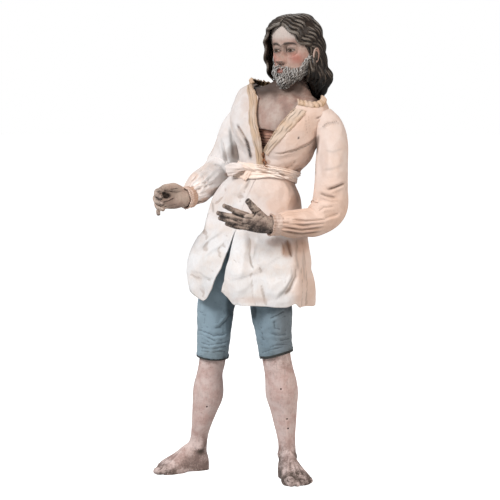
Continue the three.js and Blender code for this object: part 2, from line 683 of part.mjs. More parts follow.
// The sash is wound twice round the waist and knotted at the figure's right front, with one
// broad loop that stands out and a short tail.
function sash() {
  const steps = 5;
  const placePerHeight = rowPlace(1) / (shirtRows[6][0] - shirtRows[7][0]) / k;
  const band = ring(shirtAround, 2 * steps, (u, v) => {
    const angle = fullTurn * u;
    const step = Math.round(v * 2 * steps) % (2 * steps);
    const outside = step <= steps;
    const t = (outside ? step : 2 * steps - step) / steps;
    const groove = 1 - 0.6 * hump(t, 0.5 + 0.12 * Math.sin(angle + 0.7), 0.14);
    const layers = sashThickness * (0.45 + 0.55 * Math.sin(Math.PI * t)) * groove;
    const wave = 0.8 * k * Math.sin(2 * angle);
    const place = waistPlace + ((t - 0.5) * sashHeight + wave) * placePerHeight;
    return overShirt(angle, place, touching + (outside ? layers : 0));
  });
  const knot = shirtPoint(-0.2, waistPlace, clothThickness + sashThickness);
  const [x, y, z] = knot.toArray().map((value) => value / k);
  const facing = facingOf(degToRad(28));
  const cloth = (rows) => solidOf(limb(rows, facing, 7, 4));
  const loop = [
    [x - 1, y - 0.5, z + 3, 1.6, 3], [x - 7, y, z + 4, 2.2, 5], [x - 13, y + 2.5, z + 2.5, 2.4, 6.6],
    [x - 18, y + 6, z + 0.5, 1.4, 5.5],
  ];
  const wrap = [
    [x - 4, y, z + 5, 2, 2.6], [x + 1, y - 1, z + 4, 3, 3.8], [x + 6, y - 0.5, z + 2, 2.8, 3.6],
    [x + 10, y + 0.5, z, 1.6, 2.4],
  ];
  const tail = [
    [x + 2, y - 0.5, z + 2, 1.5, 2.5], [x - 1, y - 1.5, z - 5, 1.5, 3], [x - 5, y - 2, z - 11, 1, 3.2],
  ];
  const body = solidOf(shirtSpace(touching, shirtAround, shirtAlong));
  const bow = join([loop, wrap, tail].map(cloth)).subtract(body);
  return largest(bow.add(solidOf(band)));
}

// The place on the shirt's front, `out` beyond its lining surface, that is seen from the front
// at a side position and height.
function shirtFront(x, z, out) {
  let [top, bottom] = [0, 1];
  let p;
  for (let round = 0; round < 24; round++) {
    const place = (top + bottom) / 2;
    const [, centre, , halfWidth, halfDepth, turn] = readRows(shirtRows, place);
    const across = halfWidth * Math.cos(degToRad(turn));
    const back = halfDepth * Math.sin(degToRad(turn));
    const aside = clamp((x - centre) / Math.hypot(across, back), -0.98, 0.98);
    const angle = Math.asin(aside) + Math.atan2(back, across);
    p = shirtPoint(angle, place, faceOut(angle, place) + out);
    [top, bottom] = p.z > z * k ? [place, bottom] : [top, place];
  }
  return p;
}

// A facing strip between two lines on the shirt's front, each given as rows of side position
// and height.
function lapel(inner, outer) {
  return solidOf(
    slab(2, 9, (u, v, w) => {
      const [a, b] = [readRows(inner, v), readRows(outer, v)];
      const roll = 0.7 * k * Math.sin(Math.PI * u);
      const out = touching + 0.3 + w * lapelThickness + roll;
      return shirtFront(lerp(a[0], b[0], u), lerp(a[1], b[1], u), out);
    }),
  );
}
const rightLapelEdges = [
  [[-4.5, 323], [-6.8, 311], [-5.4, 298], [-2.4, 282], [-1, 268]],
  [[-11.5, 322], [-14, 310], [-12.8, 297], [-10.5, 282], [-8, 269]],
];
const leftLapelEdges = [
  [[30, 313.5], [22, 306], [15, 297.3], [8.5, 288], [2.8, 277]],
  [[38.5, 309.5], [30.5, 301.5], [22.7, 293.5], [14, 284.5], [5.5, 274]],
];

// The collar: a gathered frill that stands on the neckline, round the back of the neck. It is
// low in front of the figure's left shoulder.
function collar() {
  const start = degToRad(33);
  const end = degToRad(305);
  return solidOf(
    slab(26, 1, (u, v, w) => {
      const angle = lerp(start, end, u);
      const frill = 0.8 * Math.sin(fullTurn * 6.5 * u) * v;
      const out = clothThickness / 2 + (w - 0.5) * collarThickness + (frill + 1.6 * v - 0.6) * k;
      const p = shirtPoint(angle, 0, out);
      const height = lerp(0.7, 1, smoothstep(u, 0.2, 0.45)) * lerp(1, 0.3, smoothstep(u, 0.6, 0.9));
      p.z += touching + v * collarHeight * height;
      return p;
    }),
  );
}

const paints = {
  terracotta: [0xb98a76, 0.55],
  wood: [0xb9968a, 0.5],
  tow: [0x7c5548, 0.95],
  linen: [0xe9ddd0, 0.9],
  trim: [0xd2ab80, 0.9],
  wool: [0x66808c, 0.9],
};

function piece(name, paint, solid) {
  const [color, roughness] = paints[paint];
  const material = new THREE.MeshStandardMaterial({ color, roughness, metalness: 0 });
  const mesh = new THREE.Mesh(geometryOf(solid), material);
  mesh.name = name;
  return mesh;
}

const figure = new THREE.Group();
const rightSleeve = sleeve(arms.right);
const leftSleeve = sleeve(arms.left);
figure.add(
  piece("head", "terracotta", head()),
  piece("trunk", "tow", trunk()),
  piece("breeches", "wool", breeches()),
  piece("right_leg", "wood", lowerLeg(legs.right)),
  piece("left_leg", "wood", lowerLeg(legs.left)),
  piece("shirt", "linen", shirt()),
  piece("right_lapel", "trim", lapel(...rightLapelEdges)),
  piece("left_lapel", "trim", lapel(...leftLapelEdges)),
  piece("collar", "trim", collar()),
  piece("right_sleeve", "linen", rightSleeve),
  piece("left_sleeve", "linen", leftSleeve),
  piece("right_cuff", "linen", cuff(arms.right)),
  piece("left_cuff", "linen", cuff(arms.left)),
  piece("right_hand", "wood", hand(rightHand, arms.right)),
  piece("left_hand", "wood", hand(leftHand, arms.left)),
  piece("sash", "linen", sash()),
);

// The origin is on the floor, under the middle of the figure.
const extent = new THREE.Box3().setFromObject(figure);
const middle = extent.getCenter(new THREE.Vector3());
figure.position.set(-middle.x, -middle.y, -extent.min.z);

export default figure;
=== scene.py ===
# A dressed crib figure about 395 mm tall: a bearded man with a painted terracotta head, carved
# wooden hands and legs, and stiffened cloth clothes over a trunk of wire and tow.
import math

import bpy
import numpy as np
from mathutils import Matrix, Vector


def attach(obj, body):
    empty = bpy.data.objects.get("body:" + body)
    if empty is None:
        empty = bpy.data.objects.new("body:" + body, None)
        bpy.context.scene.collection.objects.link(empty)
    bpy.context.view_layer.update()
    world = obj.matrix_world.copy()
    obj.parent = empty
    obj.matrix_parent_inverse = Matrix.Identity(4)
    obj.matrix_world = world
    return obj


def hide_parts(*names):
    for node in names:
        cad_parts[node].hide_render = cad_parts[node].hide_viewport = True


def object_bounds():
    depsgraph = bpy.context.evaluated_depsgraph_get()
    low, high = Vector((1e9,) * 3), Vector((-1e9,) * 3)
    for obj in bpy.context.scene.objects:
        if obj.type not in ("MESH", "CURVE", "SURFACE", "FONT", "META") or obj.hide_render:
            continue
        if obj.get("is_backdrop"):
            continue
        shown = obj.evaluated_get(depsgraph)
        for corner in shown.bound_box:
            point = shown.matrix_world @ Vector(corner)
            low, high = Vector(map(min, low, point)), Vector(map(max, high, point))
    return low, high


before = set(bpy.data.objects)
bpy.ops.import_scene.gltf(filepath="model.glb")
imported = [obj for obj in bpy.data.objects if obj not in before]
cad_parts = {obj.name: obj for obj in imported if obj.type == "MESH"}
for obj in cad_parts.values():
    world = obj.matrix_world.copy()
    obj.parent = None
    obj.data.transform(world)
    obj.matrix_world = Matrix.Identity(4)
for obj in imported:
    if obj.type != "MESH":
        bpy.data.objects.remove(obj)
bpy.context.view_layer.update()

# The camera stands where the photograph was taken from: straight in front and a little above.
# The floor is pale, and large soft lamps light the figure, cooler on its right and warmer on
# its left.
MM = 0.001
pose_origin = np.array([11.061, 24.798, 0.0])  # where the pose's own origin lies, in millimetres
camera_distance = 1500.0
camera_rise = math.radians(4)
camera_target = np.array([-10.3, 0.0, 192.5]) + pose_origin
photo_width = 500
pixels_at_one = 1754.0  # pixels that a length as long as its distance takes up
camera_back = np.array([0, -math.cos(camera_rise), math.sin(camera_rise)])
camera_up = np.array([0, math.sin(camera_rise), math.cos(camera_rise)])
camera_place = camera_target + camera_back * camera_distance


def placed(name, data):
    """A new object in the scene."""
    made = bpy.data.objects.new(name, data)
    bpy.context.scene.collection.objects.link(made)
    return made


camera = placed("camera", bpy.data.cameras.new("camera"))
camera.location = camera_place * MM
camera.rotation_euler = (math.pi / 2 - camera_rise, 0, 0)
camera.data.sensor_width = 36
camera.data.lens = pixels_at_one / photo_width * camera.data.sensor_width
camera.data.clip_start = 0.05
bpy.context.scene.camera = camera
bpy.context.scene.view_settings.view_transform = "Standard"


def in_photo(points):
    """Where points, in millimetres, show in the photograph's 500 by 500 pixels."""
    seen = points - camera_place
    depth = -(seen @ camera_back)
    x = photo_width / 2 + pixels_at_one * seen[..., 0] / depth
    y = photo_width / 2 - pixels_at_one * (seen @ camera_up) / depth
    return np.stack([x, y], -1)


class Field:
    """A node's output that plain maths can be done with."""

    def __init__(self, paint, socket):
        self.paint, self.socket = paint, socket

    def math(self, operation, *others):
        return self.paint.node("Math", {"operation": operation}, dict(enumerate(others)))

    def __add__(self, other):
        return self.math("ADD", self, other)

    def __sub__(self, other):
        return self.math("SUBTRACT", self, other)

    def __rsub__(self, other):
        return self.math("SUBTRACT", other, self)

    def __mul__(self, other):
        return self.math("MULTIPLY", self, other)

    __radd__ = __add__
    __rmul__ = __mul__


class Paint:
    """A material and the nodes that paint it."""

    def __init__(self, name):
        self.material = bpy.data.materials.new(name)
        self.material.use_nodes = True
        self.tree = self.material.node_tree
        self.shader = self.tree.nodes["Principled BSDF"]

    def give(self, socket, value):
        if isinstance(value, Field):
            self.tree.links.new(value.socket, socket)
        elif isinstance(value, tuple) and len(socket.default_value) == 4:
            socket.default_value = (*value, 1)
        else:
            socket.default_value = value

    def node(self, kind, settings=None, sockets=None, output=0):
        made = self.tree.nodes.new("ShaderNode" + kind)
        for name, value in (settings or {}).items():
            setattr(made, name, value)
        for name, value in (sockets or {}).items():
            self.give(made.inputs[name], value)
        return Field(self, made.outputs[output])

    def place(self, stretch=None):
        """Where a point is, in millimetres, with each axis multiplied if asked for."""
        where = self.node("TexCoord", output="Object")
        where = self.node("VectorMath", {"operation": "SCALE"}, {0: where, "Scale": 1 / MM})
        return self.node("Mapping", sockets={"Vector": where, "Scale": stretch}) if stretch else where

    def noise(self, size, detail=3.0, rough=0.55, stretch=None):
        """A cloudy pattern from 0 to 1 whose blots are about `size` millimetres."""
        sockets = {"Vector": self.place(stretch), "Scale": 1 / size, "Detail": detail, "Roughness": rough}
        return self.node("TexNoise", sockets=sockets)

    def mark(self, name):
        """A value that the mesh carries at each corner."""
        return self.node("Attribute", {"attribute_name": name}, output="Fac")

    def between(self, value, low, high):
        """0 below low and 1 above high, with a soft step between them."""
        sockets = {"Value": value, "From Min": low, "From Max": high}
        return self.node("MapRange", {"interpolation_type": "SMOOTHSTEP"}, sockets)

    def mix(self, share, first, second):
        """A colour between two."""
        return self.node("Mix", {"data_type": "RGBA"}, {0: share, 6: first, 7: second}, output=2)

    def coat(self, share, colour):
        """Paints a colour over what is there, as thickly as `share` says."""
        self.tone = self.mix(share, self.tone, colour)

    def bump(self, height, depth, under=None):
        """A fine relief `depth` millimetres deep."""
        sockets = {"Height": height, "Distance": depth * MM, "Strength": 1.0}
        if under:
            sockets["Normal"] = under
        return self.node("Bump", sockets=sockets)

    def finish(self, **sockets):
        for name, value in sockets.items():
            self.give(self.shader.inputs[name.replace("_", " ")], value)
        return self.material


floor_paint = Paint("floor")
floor_mesh = bpy.data.meshes.new("floor")
floor_half = 60.0
floor_mesh.from_pydata(
    [(x * floor_half, y * floor_half, 0) for x, y in ((-1, -1), (1, -1), (1, 1), (-1, 1))],
    [],
    [(0, 1, 2, 3)],
)
seen_directly = floor_paint.node("LightPath")
floor_glow = floor_paint.mix(seen_directly, (0, 0, 0), (1, 1, 1))
floor_paint.finish(
    Base_Color=(0.6, 0.6, 0.6), Roughness=0.9, Emission_Color=floor_glow, Emission_Strength=0.93
)
floor_mesh.materials.append(floor_paint.material)
floor = placed("floor", floor_mesh)
floor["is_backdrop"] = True

world = bpy.data.worlds.new("studio")
world.use_nodes = True
studio = world.node_tree
soft_light = studio.nodes["Background"]
white_wall = studio.nodes.new("ShaderNodeBackground")
for light, colour, strength in ((soft_light, (0.93, 0.96, 1, 1), 0.3), (white_wall, (1, 1, 1, 1), 1)):
    light.inputs["Color"].default_value = colour
    light.inputs["Strength"].default_value = strength
ray = studio.nodes.new("ShaderNodeLightPath")
either = studio.nodes.new("ShaderNodeMixShader")
studio.links.new(ray.outputs["Is Camera Ray"], either.inputs["Fac"])
studio.links.new(soft_light.outputs["Background"], either.inputs[1])
studio.links.new(white_wall.outputs["Background"], either.inputs[2])
studio.links.new(either.outputs["Shader"], studio.nodes["World Output"].inputs["Surface"])
bpy.context.scene.world = world


def lamp(name, azimuth, elevation, distance, size, power, colour):
    """A square soft lamp that points at the figure's middle; azimuth 0 is at the camera."""
    a, e = math.radians(azimuth), math.radians(elevation)
    way = np.array([math.sin(a) * math.cos(e), -math.cos(a) * math.cos(e), math.sin(e)])
    light = bpy.data.lights.new(name, "AREA")
    light.size, light.energy, light.color = size, power, colour
    made = placed(name, light)
    made.location = camera_target * MM + way * distance
    made.rotation_euler = (math.pi / 2 - e, 0, a)


lamp("key", -42, 36, 1.5, 0.45, 20.5, (0.97, 0.98, 1.0))
lamp("fill", 55, 22, 1.3, 0.45, 7.5, (1.0, 0.9, 0.82))
lamp("rim", 170, 45, 1.5, 0.7, 3, (1.0, 0.98, 0.95))

# Two carved lower legs with bare feet, in painted pine. Each leg runs up inside the breeches and
# is fixed to the wire there. The paint is flesh pink, worn and grimed, with a few worm holes. The
# soles, the sides of the feet and the tops of the legs under the hems are also darkened as
# painted shade.


def smooth(value, low, high):
    """0 below low and 1 above high, with a soft step between them."""
    t = np.clip((value - low) / (high - low), 0, 1)
    return t * t * (3 - 2 * t)


def hump(value, centre, width):
    return np.exp(-(((value - centre) / width) ** 2))


def unit(vector):
    vector = np.asarray(vector, float)
    return vector / np.linalg.norm(vector, axis=-1, keepdims=True)


def rows_at(rows, place):
    """Reads a table of rows, from 0 at the first to 1 at the last, on a curve through them."""
    rows = np.asarray(rows, float)
    at = np.clip(place, 0, 1) * (len(rows) - 1)
    i = np.minimum(at.astype(int), len(rows) - 2)
    t = (at - i)[..., None]
    a, b, c, d = (rows[np.clip(i + n, 0, len(rows) - 1)] for n in (-1, 0, 1, 2))
    return b + 0.5 * t * (c - a + t * (2 * a - 5 * b + 4 * c - d + t * (3 * b - a - 3 * c + d)))


upward = np.array([0, 0, 1.0])


def full_turn(count):
    """Even steps round a circle."""
    return np.linspace(0, 2 * math.pi, count, endpoint=False)


def facing_of(degrees):
    """The way a part of the body faces: 0 is towards the camera, and more is to its own right."""
    turn = math.radians(degrees)
    return np.array([-math.sin(turn), -math.cos(turn), 0])


def left_of(degrees):
    turn = math.radians(degrees)
    return np.array([math.cos(turn), -math.sin(turn), 0])


def quads(rows, columns, closed=True):
    """The faces of a grid of points, whose columns close on themselves if closed."""
    r = np.arange(rows - 1)[:, None] * columns
    c = np.arange(columns if closed else columns - 1)[None]
    n = (c + 1) % columns
    return np.stack([r + c, r + n, r + n + columns, r + c + columns], -1).reshape(-1, 4).tolist()


def tube(points):
    """A closed skin over a grid of points: its columns run round, and each end has a lid."""
    rows, columns = points.shape[:2]
    last = (rows - 1) * columns
    faces = quads(rows, columns)
    faces += [list(range(columns))[::-1], list(range(last, last + columns))]
    return points.reshape(-1, 3), faces


def limb(rows, facing, around=40, steps=60, relief=None):
    """A grid of points round a centre line; the rows hold x, y, z, depth and width radius."""
    s = np.linspace(0, 1, steps + 1)
    found = rows_at(rows, s)
    along = unit(rows_at(rows, s + 0.01)[:, :3] - rows_at(rows, s - 0.01)[:, :3])
    facing = np.asarray(facing, float)
    depth = unit(facing - along * (along @ facing)[:, None])
    side = np.cross(along, depth)
    turn = full_turn(around)
    more = relief(turn[None], s[:, None]) if relief else 0
    deep = (found[:, 3, None] + more) * np.cos(turn)
    wide = (found[:, 4, None] + more) * np.sin(turn)
    return found[:, None, :3] + deep[..., None] * depth[:, None] + wide[..., None] * side[:, None]


def capsule(rows, facing=(0, 0, 1), around=24, steps=24):
    """A limb with round ends."""
    rows = np.asarray(rows, float)
    body = limb(rows, facing, around, steps)
    ends = []
    for at, beyond in ((0, rows[0, :3] - rows[1, :3]), (-1, rows[-1, :3] - rows[-2, :3])):
        ring = body[at]
        centre = ring.mean(0)
        way = unit(beyond) * min(rows[at, 3], rows[at, 4])
        caps = [
            centre + (ring - centre) * math.cos(a) + way * math.sin(a)
            for a in (0.4, 0.8, 1.15, 1.45)
        ]
        ends.append(np.array(caps))
    return tube(np.concatenate([ends[0][::-1], body, ends[1]]))


def object_of(name, parts):
    """One object from closed skins in the pose's millimetres."""
    points, faces = [], []
    for skin_points, skin_faces in parts:
        start = sum(len(p) for p in points)
        points.append(skin_points)
        faces += [[start + i for i in face] for face in skin_faces]
    mesh = bpy.data.meshes.new(name)
    mesh.from_pydata(((np.concatenate(points) + pose_origin) * MM).tolist(), [], faces)
    return placed(name, mesh)


def applied(made):
    """The object with its modifiers worked into its mesh."""
    bpy.context.view_layer.update()
    graph = bpy.context.evaluated_depsgraph_get()
    mesh = bpy.data.meshes.new_from_object(made.evaluated_get(graph))
    made.modifiers.clear()
    made.data = mesh
    return made


def fused(made, voxel, softening):
    """The object's closed skins as one carved skin, with `voxel` millimetres between points."""
    fuse = made.modifiers.new("fuse", "REMESH")
    fuse.mode = "VOXEL"
    fuse.voxel_size = voxel * MM
    soften = made.modifiers.new("soften", "SMOOTH")
    soften.factor = 0.5
    soften.iterations = softening
    return applied(made)


def space_inside(mesh):
    """The space that a closed mesh holds, which is negative if its faces look inward."""
    mesh.calc_loop_triangles()
    corners = np.zeros(len(mesh.loop_triangles) * 3, np.int32)
    mesh.loop_triangles.foreach_get("vertices", corners)
    points = np.zeros(len(mesh.vertices) * 3, np.float32)
    mesh.vertices.foreach_get("co", points)
    a, b, c = np.moveaxis(points.reshape(-1, 3)[corners.reshape(-1, 3)].astype(float), 1, 0)
    return (np.cross(a, b) * c).sum()


def points_of(made):
    """A mesh's points in the pose's millimetres, and its normals."""
    count = len(made.data.vertices)
    points, normals = np.zeros(count * 3, np.float32), np.zeros(count * 3, np.float32)
    made.data.vertices.foreach_get("co", points)
    made.data.vertex_normals.foreach_get("vector", normals)
    points = points.reshape(-1, 3).astype(float) / MM - pose_origin
    return points, normals.reshape(-1, 3).astype(float)


def set_points(made, points):
    made.data.vertices.foreach_set("co", ((points + pose_origin) * MM).astype(np.float32).ravel())
    made.data.update()


def neighbours_mean(made, values, rounds=1):
    """Each point's value averaged with its neighbours' a number of times."""
    edges = np.zeros(len(made.data.edges) * 2, np.int64)
    made.data.edges.foreach_get("vertices", edges)
    a, b = edges.reshape(-1, 2).T
    values = np.asarray(values, float)
    count = np.bincount(edges, minlength=len(values)).clip(1)
    for _ in range(rounds):
        columns = values.reshape(len(values), -1)
        total = [
            np.bincount(a, column[b], len(values)) + np.bincount(b, column[a], len(values))
            for column in columns.T
        ]
        values = (np.stack(total, -1) / count[:, None]).reshape(values.shape)
    return values


def set_mark(made, name, values):
    """Gives a mesh a named value at each point, or one value everywhere."""
    mark = made.data.attributes.get(name) or made.data.attributes.new(name, "FLOAT", "POINT")
    mark.data.foreach_set("value", np.full(len(mark.data), values, np.float32))


def mark_relief(made, near=2, far=10, fine_depth=0.08, broad_depth=0.6):
    """Marks hollows and raised edges, from 0 to 1 with flat places at a half.

    A hollow that is `fine_depth` millimetres deep, or `broad_depth` over a wider reach, is full.
    """
    points, normals = points_of(made)
    for name, rounds, depth in (("fine_hollow", near, fine_depth), ("broad_hollow", far, broad_depth)):
        rise = ((neighbours_mean(made, points, rounds) - points) * normals).sum(-1)
        set_mark(made, name, np.clip(0.5 + 0.5 * rise / depth, 0, 1))


def settle(made, material, replaced=()):
    """Finishes a piece: its paint, what it stands for, and the body that it rides on."""
    if space_inside(made.data) < 0:
        made.data.flip_normals()
    made.data.materials.clear()
    made.data.materials.append(material)
    made.data.shade_smooth()
    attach(made, "root")
    if replaced:
        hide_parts(*replaced)


def flesh_paint(name, base, grime_and_shade, blush, tints=()):
    """Old flesh paint over wood or clay, dark in the hollows, rubbed on the edges, with painted shade."""
    paint = Paint(name)
    hollow = paint.mark("fine_hollow")
    broad = paint.mark("broad_hollow")
    dirt = paint.mark("dirt")
    blots = paint.noise(9, 4, 0.6)
    specks = paint.noise(1.6, 5, 0.7)
    streaks = paint.noise(1.3, 3, 0.6, (1, 1, 0.12))
    paint.tone = paint.mix(paint.between(blots, 0.35, 0.7), base, blush)
    paint.coat(paint.between(streaks, 0.5, 0.75) * 0.22, grime_and_shade)
    for mark, colour, share in tints:
        paint.coat(paint.mark(mark) * share, colour)
    paint.coat(paint.between(specks, 0.55, 0.75) * 0.25, grime_and_shade)
    deep = paint.between(hollow, 0.55, 0.95) * 0.75 + paint.between(broad, 0.6, 1.0) * 0.3
    paint.coat(deep, grime_and_shade)
    # Grime, and painted shade where the parts are marked for it.
    cloud = dirt * paint.between(blots * 0.75 + specks * 0.5 + dirt * 0.14, 0.55, 0.85)
    paint.coat(cloud, grime_and_shade)
    rubbed = paint.between(1 - hollow, 0.72, 1.0) * paint.between(specks, 0.4, 0.6) * 0.4
    paint.coat(rubbed, tuple(min(1.0, c * 1.45) for c in base))
    holes = paint.between(paint.mark("worm_hole"), 0.3, 0.7)
    paint.coat(holes, (0.03, 0.018, 0.012))
    relief = paint.bump(specks, 0.12, paint.bump(blots, 0.25))
    gloss = 0.42 + 0.35 * specks + 0.15 * dirt
    return paint.finish(Base_Color=paint.tone, Roughness=gloss, Normal=relief, Specular_IOR_Level=0.35)


foot_rows = [  # reach ahead of the ankle, half width, height, shift to the big toe's side
    [-10.5, 2.5, 9, -0.5], [-9.5, 5.2, 14, -0.5], [-6.5, 6.8, 20, -0.3], [-2, 7.3, 25, 0],
    [4, 7.6, 26.5, 0], [11, 8, 22.5, 0.6], [19, 9.8, 17, 0.6], [26, 11.6, 12.6, -0.2],
    [31.5, 11.4, 9.6, 0.2], [35, 8.5, 7, 1],
]
toes = [  # root and tip, each ahead and to the big toe's side, and the radius
    [28, 7.3, 40.6, 7.3, 4.3], [30, 1.7, 40.6, 2.1, 2.9], [29.5, -2.7, 38, -2.7, 2.8],
    [27.5, -6.8, 34.4, -7.2, 2.7], [24.5, -10.6, 29.8, -11.9, 3.0],
]
legs = {
    "right_leg": {
        "rows": [
            [-41.8, -3.2, 112, 11.2, 11.2], [-42.6, -1.4, 98, 11.4, 10.8],
            [-44.8, 0.5, 87, 11.2, 10.3], [-46.2, 3, 76, 13, 11.6], [-47, 4.5, 66, 13.4, 11.4],
            [-49.6, 6, 54, 11.2, 9.8], [-52, 7.5, 43, 9.2, 8.2], [-54, 11, 32, 8.2, 7.2],
            [-55.6, 12.6, 22, 8.4, 7.4], [-56, 13, 13, 8, 6.8],
        ],
        "turn": 62, "ankle": (-56.5, 13), "big_toe_side": 1,
    },
    "left_leg": {
        "rows": [
            [10.6, -31, 117, 12, 12], [12, -30.3, 104, 12, 12.1], [14, -29, 93, 11.5, 12.3],
            [15.9, -27.5, 82, 12.6, 13.4], [16.9, -26, 72, 13.2, 13.6],
            [18.1, -24.5, 61, 11.5, 11.6], [19.2, -23.5, 49, 9.6, 9.9],
            [20.2, -22.5, 37, 8.4, 8.2], [21.2, -22, 25, 8.4, 7.7], [21.2, -22, 13, 8, 6.8],
        ],
        "turn": -14, "ankle": (21.2, -22), "big_toe_side": -1,
    },
}
worm_holes = {  # where the photograph shows worm holes, in its pixels
    "right_leg": [(192, 408), (207, 407)],
    "left_leg": [(287, 419), (288, 428.5), (281, 389)],
}


def foot_ways(leg):
    """The ways ahead and to the big toe's side, and the spot on the floor under the ankle."""
    forward, inner = facing_of(leg["turn"]), left_of(leg["turn"]) * leg["big_toe_side"]
    return forward, inner, np.array([*leg["ankle"], 0.0])


def foot_place(leg, ahead, aside, up):
    forward, inner, floor_point = foot_ways(leg)
    ahead, aside, up = (v[..., None] for v in np.broadcast_arrays(ahead, aside, up))
    return floor_point + ahead * forward + aside * inner + up * upward


def foot_skins(leg):
    s = np.linspace(0, 1, 44)[:, None]
    ahead, half, height, shift = np.moveaxis(rows_at(foot_rows, s), -1, 0)
    turn = full_turn(44)[None]
    across, rise = np.cos(turn), np.sin(turn)
    arch = 2.4 * hump(ahead, 10, 8) * np.maximum(across, 0)
    top = np.where(rise > 0, np.abs(rise) ** 0.9, -np.abs(rise) ** 0.55)
    up = np.maximum(height * (0.32 + 0.68 * top), arch - 1.2)
    skins = [tube(foot_place(leg, ahead, shift + half * across, up))]
    for root, root_side, tip, tip_side, radius in toes:
        knuckle, pad = 0.42, 0.78
        side = [root_side + (tip_side - root_side) * t for t in (0, knuckle, pad, 1)]
        reach = [root + (tip - root) * t for t in (0, knuckle, pad, 1)]
        high = [radius * 0.95, radius * 1.12, radius * 0.95, radius * 0.88]
        thick = [radius * 1.02, radius * 0.98, radius * 1.0, radius * 0.88]
        rows = [
            [*foot_place(leg, reach[i], side[i], high[i]), thick[i] * 0.86, thick[i]]
            for i in range(4)
        ]
        skins.append(capsule(rows))
    return skins


def carve_foot(leg, points, normals):
    """Tendons, ankle bones, toe nails and the creases behind the toes."""
    forward, inner, floor_point = foot_ways(leg)
    off = points - floor_point
    ahead, aside, up = off @ forward, off @ inner, off[:, 2]
    top = smooth(normals[:, 2], 0.1, 0.6)
    rise = np.zeros(len(points))
    tendons = 0.55 * smooth(ahead, 6, 14) * (1 - smooth(ahead, 31, 36)) * top
    for way, height in ((1, 20.5), (-1, 18)):
        bone = hump(ahead, 0.5, 3.6) * hump(up, height, 3.4) * smooth(way * aside, 3, 6)
        rise += 1.5 * bone - 0.6 * hump(ahead, -5, 2.5) * hump(up, height, 5) * smooth(way * aside, 2, 5)
    for root, root_side, tip, tip_side, radius in toes:
        rise += tendons * hump(aside, np.clip((ahead - 8) / (root - 8), 0, 1.05) * root_side, 1.3)
        along = (ahead - tip + radius * 0.1) / (radius * 0.8)
        from_middle = np.hypot((aside - tip_side) / (radius * 0.72), along)
        on_top = smooth(normals[:, 2], 0.15, 0.5) * (up > radius * 0.9)
        rim = hump(from_middle, 1.05, 0.16) * on_top
        plate = (1 - smooth(from_middle, 0.85, 1.0)) * on_top
        rise += 0.22 * plate - 0.42 * rim * (1 - smooth(along, 0.4, 0.9))
        knuckle = root + (tip - root) * 0.45
        for crease in (-0.9, 0, 0.9):
            line = hump(ahead, knuckle + crease, 0.3) * hump(aside, tip_side, radius * 0.75)
            rise -= 0.25 * line * on_top
    return rise


def carve_shin(leg, points):
    """The shin's edge, the calf, and the dimples under the knee."""
    forward, inner, _ = foot_ways(leg)
    centre = rows_at(leg["rows"], np.linspace(0, 1, 200))
    nearest = np.interp(points[:, 2], centre[::-1, 2], np.arange(200)[::-1])
    off = points - centre[nearest.astype(int), :3]
    turn = np.arctan2(off @ inner, off @ forward)
    z = points[:, 2]
    above_foot = smooth(z, 30, 40)
    rise = 0.7 * hump(turn, 0.15, 0.22) * above_foot * (1 - smooth(z, 88, 100))
    rise -= 0.45 * (hump(turn, 0.75, 0.3) + hump(turn, -0.6, 0.3)) * above_foot * hump(z, 62, 26)
    rise += 0.8 * hump(turn, 2.3, 0.5) * hump(z, 70, 12) + 0.6 * hump(turn, -2.2, 0.5) * hump(z, 66, 12)
    rise -= 0.5 * (hump(turn, 2.0, 0.25) + hump(turn, -2.0, 0.25)) * hump(z, 44, 12)
    rise += 0.6 * hump(turn, math.pi, 0.35) * hump(z, 30, 12)
    return rise


def softened(made, share, times):
    """Evens the surface out, more where `share` is nearer to 1."""
    points, _ = points_of(made)
    for _ in range(times):
        points += share[:, None] * (neighbours_mean(made, points) - points)
    set_points(made, points)


for name, leg in legs.items():
    skins = [tube(limb(leg["rows"], facing_of(leg["turn"]), 48, 70)), *foot_skins(leg)]
    made = fused(object_of(name, skins), 0.7, 3)
    points, _ = points_of(made)
    softened(made, hump(points[:, 2], 28, 9), 60)
    points, normals = points_of(made)
    rise = carve_foot(leg, points, normals) + carve_shin(leg, points)
    seen = in_photo(points + pose_origin)
    holes = np.zeros(len(points))
    towards_camera = smooth(-normals[:, 1], 0, 0.3)
    for pixel in worm_holes[name]:
        away = np.hypot(*(seen - pixel).T)
        holes = np.maximum(holes, (1 - smooth(away, 0.5, 1.25)) * towards_camera)
    points += normals * (rise - 0.8 * holes)[:, None]
    points[:, 2] = np.maximum(points[:, 2], 0)
    set_points(made, points)
    set_mark(made, "worm_hole", holes)
    low = 1 - smooth(points[:, 2], 14, 38)
    high = smooth(points[:, 2], 88, 104)
    _, normals = points_of(made)
    ahead = (points[:, :2] - leg["ankle"]) @ facing_of(leg["turn"])[:2]
    toe_end = smooth(ahead, 22, 40) * low
    # Painted shade: the soles, the sides of the feet and the tops of the legs under the hems are darkened,
    # over grime on the feet and toes.
    sole = smooth(-normals[:, 2], -0.15, 0.6) * low
    sides = (1 - smooth(normals[:, 2], 0.1, 0.6)) * low
    darkening = (0.25 if name == "right_leg" else 0.6) * low + 0.5 * toe_end + 0.5 * sole + 0.25 * sides
    set_mark(made, "dirt", np.clip(0.18 + darkening + 0.3 * high, 0, 1))
    mark_relief(made, 2, 8, 0.11, 0.7)
    leg_paint = flesh_paint(
        name + "_paint", (0.62, 0.49, 0.45), (0.085, 0.062, 0.05), (0.58, 0.39, 0.345)
    )
    settle(made, leg_paint, [name])

